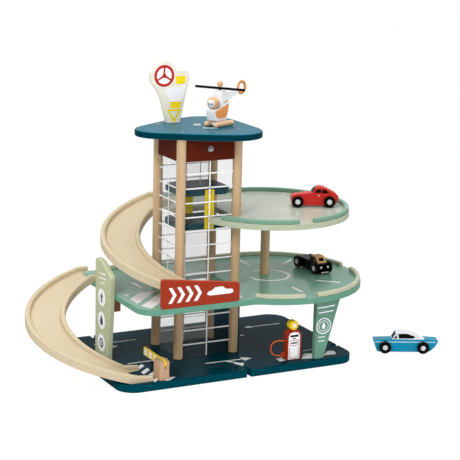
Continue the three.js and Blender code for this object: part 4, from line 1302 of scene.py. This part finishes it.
# %% Red coupe
for car in ("coupe", "pickup", "saloon"):
    for end in ("rear", "front"):
        car_wheels(car, end)
car_body("coupe", 2.2, CAR_RED)
place = car_place("coupe")
bm = bmesh.new()
on_sides(
    bm, CAR_HALF,
    [(-1.2, 28.7), (-7.8, 35.1), (-14.7, 35.4), (-14.8, 28.8)],
    [(-16.6, 35.4), (-24.8, 34), (-30.7, 27.8), (-16.7, 27.5)],
)
plate(bm, [(2.6, -9.4, 29.8), (2.6, 9.4, 29.8), (-3.6, 9, 37.3), (-3.6, -9, 37.3)], 0.5)
paint_on(bm, "coupe_windows", "coupe", BLACK_PAINT, place)
bm = bmesh.new()
on_sides(bm, CAR_HALF, [(-12, 22.2), (-9, 22.4), (-9, 23.8), (-12, 23.6)])
paint_on(bm, "coupe_handles", "coupe", PRINT_WHITE, place)

# %% Blue saloon
SALOON_BELT = 28.2
car_body("saloon", 1.8, CAR_BLUE, SALOON_BELT, CAR_WHITE)
place = car_place("saloon")
bm = bmesh.new()
on_sides(
    bm, CAR_HALF,
    [(-21.2, 29.7), (-14.2, 29.7), (-15, 36.6)],
    [(-10.5, 29.6), (18.6, 30), (21.4, 33.9), (5.3, 39.4), (-12.6, 39.2)],
)
plate(bm, [(-22.9, 9.6, 29.5), (-22.9, -9.6, 29.5), (-17.2, -9, 39.2), (-17.2, 9, 39.2)])
paint_on(bm, "saloon_windows", "saloon", BLACK_PAINT, place)
bm = bmesh.new()
on_sides(bm, CAR_HALF, [(-58.5, 21.4), (62, 22), (62, 23.6), (-58.5, 23)])
paint_on(bm, "saloon_stripe", "saloon", STRIPE_BLUE, place)

# %% Black pickup
pickup = car_body("pickup", 1.8, CAR_BLACK)
place = car_place("pickup")
back_to_car = place.inverted()
pickup.data.materials.append(CAR_BED)
for face in pickup.data.polygons:
    if face.normal.z > 0.9 and (back_to_car @ face.center).x < 0:
        face.material_index = 1
cab = sand("pickup_cab", CAB_WOOD, 1.4)
# The faces on the cab's two sides take the darker wood: painted shade.
cab.data.materials.append(CAB_SHADED_SIDE)
for face in cab.data.polygons:
    if abs((back_to_car.to_3x3() @ face.normal).y) > 0.9:
        face.material_index = 1
bm = bmesh.new()
on_sides(bm, 10.55, [(4.5, 23), (18.5, 23), (15.5, 29.5), (5.5, 29.5)])
plate(bm, [(31.2, -5.6, 25.2), (31.2, 5.6, 25.2), (26.6, 5, 30.2), (26.6, -5, 30.2)])
paint_on(bm, "pickup_windows", "pickup", BLACK_PAINT, place)
bm = bmesh.new()
plate(bm, [(43.6, -8.5, 4.2), (43.6, 8.5, 4.2), (44, 8.5, 5.8), (44, -8.5, 5.8)], 0.4)
for side in (-1, 1):
    lamp = turned([(0, 0), (2.2, 0), (2.2, 0.6), (1.6, 1), (0, 1.2)], 20)
    add_to(bm, lamp, Matrix.Translation(mm(41.4, side * 7.9, 14.6)) @ ALONG_X)
paint_on(bm, "pickup_lamps", "pickup", PRINT_WHITE, place)

# %% [markdown]
# ## Toy helicopter
#
# The helicopter is a white block with a boom, two turned skids, a round-headed pilot, a wooden
# ring for its tail and a black rod for its rotor, which turns on a wooden ball. Its own frame has
# X towards the nose, and its side picture is an orange plate that follows the cabin's outline.

# %% Helicopter
ROTOR_TURN = math.radians(104.8)
ROTOR_HIGH = 71.7
ROTOR_LONG = 102
ROTOR_RADIUS = 2.4
BALL_RADIUS = 5.7
HELI_HALF = 10

skid_middle = (middle("helicopter_skid_left") + middle("helicopter_skid_right")) / 2
nose_way = middle("helicopter_pilot") - skid_middle
heli = Matrix.Translation((skid_middle.x, skid_middle.y, high("roof_deck").z))
heli = heli @ Matrix.Rotation(math.atan2(nose_way.y, nose_way.x), 4, "Z")
sand("helicopter_body", WHITE_PAINT, 1.2)

bm = bmesh.new()
on_sides(bm, HELI_HALF, [
    (25.2, 30.2), (16.4, 32.5), (8.4, 35.2), (0.5, 38), (-13.8, 42.6), (-14.6, 38), (-11.4, 25),
    (-6.6, 16.6), (7.8, 16), (19.2, 17.6), (23.8, 24.5),
])
on_sides(bm, HELI_HALF, [(0, 46), (-10.6, 50.4), (-11.8, 48.2), (-1, 44.2)])
paint_on(bm, "helicopter_orange", "helicopter", ORANGE_PAINT, heli)

for side in ("left", "right"):
    node = f"helicopter_skid_{side}"
    radius = (high(node).z - low(node).z) / 2 / MM
    long = 57
    ends = [math.radians(step * 15) for step in range(7)]
    outline = [(radius * math.sin(t), radius - radius * math.cos(t)) for t in ends]
    outline += [(r, long - z) for r, z in reversed(outline)]
    spot = heli.inverted() @ middle(node)
    bm = turned(outline, 32)
    bmesh.ops.transform(
        bm, matrix=heli @ Matrix.Translation(spot) @ ALONG_X @ Matrix.Translation(mm(0, 0, -long / 2)),
        verts=bm.verts,
    )
    stand_for(piece_from(bm, f"{node}_turned", "helicopter", BEECH_SKID), node)

# %% Pilot with a painted face
def ball_outline(radius, start=0, end=180, steps=18):
    """Half a round, or the part of it between two angles from its top."""
    turns = [math.radians(start + (end - start) * step / steps) for step in range(steps + 1)]
    return [(radius * math.sin(t), radius * math.cos(t)) for t in turns]


HEAD_RADIUS = (high("helicopter_pilot").z - low("helicopter_pilot").z) / 2 / MM
FACE_TURN = math.radians(16)
head_spot = heli.inverted() @ middle("helicopter_pilot")
head = heli @ Matrix.Translation(head_spot)
face = head @ Matrix.Rotation(FACE_TURN, 4, "Z") @ ALONG_X
bm = turned(ball_outline(HEAD_RADIUS), 48)
bmesh.ops.transform(bm, matrix=face, verts=bm.verts)
stand_for(piece_from(bm, "helicopter_pilot_head", "helicopter", BEECH_HEAD), "helicopter_pilot")
bm = turned([*ball_outline(HEAD_RADIUS + 0.12, 0, 40, 10), *ball_outline(HEAD_RADIUS - 0.3, 40, 0, 10)], 40)
bmesh.ops.transform(bm, matrix=face, verts=bm.verts)
piece_from(bm, "pilot_face", "helicopter", WHITE_PAINT)
goggles, eyes = bmesh.new(), bmesh.new()
for side in (-1, 1):
    spot = face @ Matrix.Rotation(math.radians(side * 17), 4, "X") @ Matrix.Rotation(math.radians(4), 4, "Y")
    outer = turned([*ball_outline(HEAD_RADIUS + 0.22, 0, 15, 5), *ball_outline(HEAD_RADIUS, 15, 0, 5)], 24)
    add_to(goggles, outer, spot)
    inner = turned([*ball_outline(HEAD_RADIUS + 0.32, 0, 4.5, 4), *ball_outline(HEAD_RADIUS, 4.5, 0, 4)], 20)
    add_to(eyes, inner, spot)
piece_from(goggles, "pilot_goggles", "helicopter", PALE_GREY)
piece_from(eyes, "pilot_eyes", "helicopter", BLACK_PAINT)

# %% Tail ring and rotor
ring = middle("helicopter_tail_ring")
ring_place = heli @ Matrix.Translation(heli.inverted() @ ring) @ ALONG_Y
outline = [
    (10.95 + 2.95 * math.cos(math.radians(t)), 2.2 * math.sin(math.radians(t)))
    for t in range(0, 361, 20)
]
bm = turned(outline, 48)
bmesh.ops.transform(bm, matrix=ring_place, verts=bm.verts)
stand_for(piece_from(bm, "helicopter_tail_ring_turned", "helicopter", RING_WOOD),
          "helicopter_tail_ring")
bm = rounded_rod(ROTOR_RADIUS, ROTOR_LONG, 0.6, 24)
along = Matrix.Rotation(ROTOR_TURN, 4, "Z") @ Matrix.Translation(mm(-ROTOR_LONG / 2, 0, ROTOR_HIGH))
bmesh.ops.transform(bm, matrix=heli @ along @ ALONG_X, verts=bm.verts)
pin_foot = (low("helicopter_rotor").z - high("roof_deck").z) / MM
pin = rounded_rod(2, ROTOR_HIGH + ROTOR_RADIUS + 1 - pin_foot, 0.2, 16)
add_to(bm, pin, heli @ Matrix.Translation(mm(0, 0, pin_foot)))
stand_for(piece_from(bm, "helicopter_rotor_bar", "rotor", ROTOR_BLACK), "helicopter_rotor")
bm = turned(ball_outline(BALL_RADIUS), 32)
ball_high = ROTOR_HIGH + ROTOR_RADIUS + BALL_RADIUS - 0.4
bmesh.ops.transform(bm, matrix=heli @ Matrix.Translation(mm(0, 0, ball_high)), verts=bm.verts)
piece_from(bm, "helicopter_rotor_ball", "rotor", BEECH_HEAD)

# %% [markdown]
# ## Floor, light and the last line
#
# The background is plain white. A pale floor takes the soft shadow of the toy, and a wide white
# world fills in what the glossy boards mirror. One large soft light from above and a weaker one
# from the left give the shapes their shading.

# %% Floor
FLOOR_REACH = 6
GROUND = -0.0002

bm = bmesh.new()
bmesh.ops.create_grid(bm, x_segments=1, y_segments=1, size=FLOOR_REACH)
bmesh.ops.translate(bm, vec=(0, 0, GROUND), verts=bm.verts)
floor_mesh = bpy.data.meshes.new("floor")
bm.to_mesh(floor_mesh)
bm.free()
floor = bpy.data.objects.new("floor", floor_mesh)
bpy.context.scene.collection.objects.link(floor)

floor_material = bpy.data.materials.new("floor_white")
floor_material.use_nodes = True
tree = floor_material.node_tree
tree.nodes.clear()
output = tree.nodes.new("ShaderNodeOutputMaterial")
diffuse = tree.nodes.new("ShaderNodeBsdfDiffuse")
diffuse.inputs["Color"].default_value = (0.8, 0.8, 0.8, 1)
glow = tree.nodes.new("ShaderNodeEmission")
blend = tree.nodes.new("ShaderNodeMixShader")
rays = tree.nodes.new("ShaderNodeLightPath")
seen = tree.nodes.new("ShaderNodeMath")
seen.operation = "MAXIMUM"
seen_through = tree.nodes.new("ShaderNodeMath")
seen_through.operation = "MAXIMUM"
part = tree.nodes.new("ShaderNodeMath")
part.operation = "MULTIPLY"
part.inputs[1].default_value = 0.9
bright = tree.nodes.new("ShaderNodeMapRange")
bright.inputs["To Min"].default_value = 1.06
bright.inputs["To Max"].default_value = 0.3
tree.links.new(rays.outputs["Is Glossy Ray"], bright.inputs["Value"])
tree.links.new(bright.outputs["Result"], glow.inputs["Strength"])
tree.links.new(rays.outputs["Is Camera Ray"], seen.inputs[0])
tree.links.new(rays.outputs["Is Glossy Ray"], seen.inputs[1])
tree.links.new(seen.outputs[0], seen_through.inputs[0])
tree.links.new(rays.outputs["Is Transmission Ray"], seen_through.inputs[1])
tree.links.new(seen_through.outputs[0], part.inputs[0])
tree.links.new(part.outputs[0], blend.inputs[0])
tree.links.new(diffuse.outputs[0], blend.inputs[1])
tree.links.new(glow.outputs[0], blend.inputs[2])
tree.links.new(blend.outputs[0], output.inputs["Surface"])
floor_mesh.materials.append(floor_material)

# %% World
WORLD_LIGHT = 0.5
MIRRORED_FRONT = 0.06
MIRRORED_BACK = 0.62

world = bpy.data.worlds.new("studio")
bpy.context.scene.world = world
world.use_nodes = True
tree = world.node_tree
background = tree.nodes["Background"]
background.inputs["Color"].default_value = (1, 1, 1, 1)
direction = tree.nodes.new("ShaderNodeTexCoord")
parts = tree.nodes.new("ShaderNodeSeparateXYZ")
mirrored = tree.nodes.new("ShaderNodeMapRange")
for socket, value in (("From Min", -0.2), ("From Max", 0.6),
                      ("To Min", MIRRORED_FRONT), ("To Max", MIRRORED_BACK)):
    mirrored.inputs[socket].default_value = value
rays = tree.nodes.new("ShaderNodeLightPath")
seen = tree.nodes.new("ShaderNodeMath")
seen.operation = "MAXIMUM"
lit = tree.nodes.new("ShaderNodeMix")
lit.inputs[2].default_value = WORLD_LIGHT
strength = tree.nodes.new("ShaderNodeMix")
strength.inputs[3].default_value = 1.0
tree.links.new(direction.outputs["Generated"], parts.inputs["Vector"])
tree.links.new(parts.outputs["Y"], mirrored.inputs["Value"])
tree.links.new(rays.outputs["Is Glossy Ray"], lit.inputs[0])
tree.links.new(mirrored.outputs["Result"], lit.inputs[3])
tree.links.new(rays.outputs["Is Camera Ray"], seen.inputs[0])
tree.links.new(rays.outputs["Is Transmission Ray"], seen.inputs[1])
tree.links.new(seen.outputs[0], strength.inputs[0])
tree.links.new(lit.outputs[0], strength.inputs[2])
tree.links.new(strength.outputs[0], background.inputs["Strength"])


# %% Lamps
def soft_light(name, place, target, size, power):
    """A square soft box that looks at a point."""
    data = bpy.data.lights.new(name, "AREA")
    data.size = size
    data.energy = power
    lamp = bpy.data.objects.new(name, data)
    bpy.context.scene.collection.objects.link(lamp)
    lamp.location = place
    lamp.rotation_euler = (Vector(target) - Vector(place)).to_track_quat("-Z", "Y").to_euler()
    lamp.visible_glossy = False
    return lamp


TOY_MIDDLE = (0.0, 0.0, 0.2)
soft_light("overhead", (0.1, 0.2, 2.6), TOY_MIDDLE, 2.2, 40)
soft_light("key", (-2.1, -1.5, 2.1), TOY_MIDDLE, 1.0, 46)
soft_light("low_fill", (1.6, -2.2, 0.9), TOY_MIDDLE, 1.8, 18)
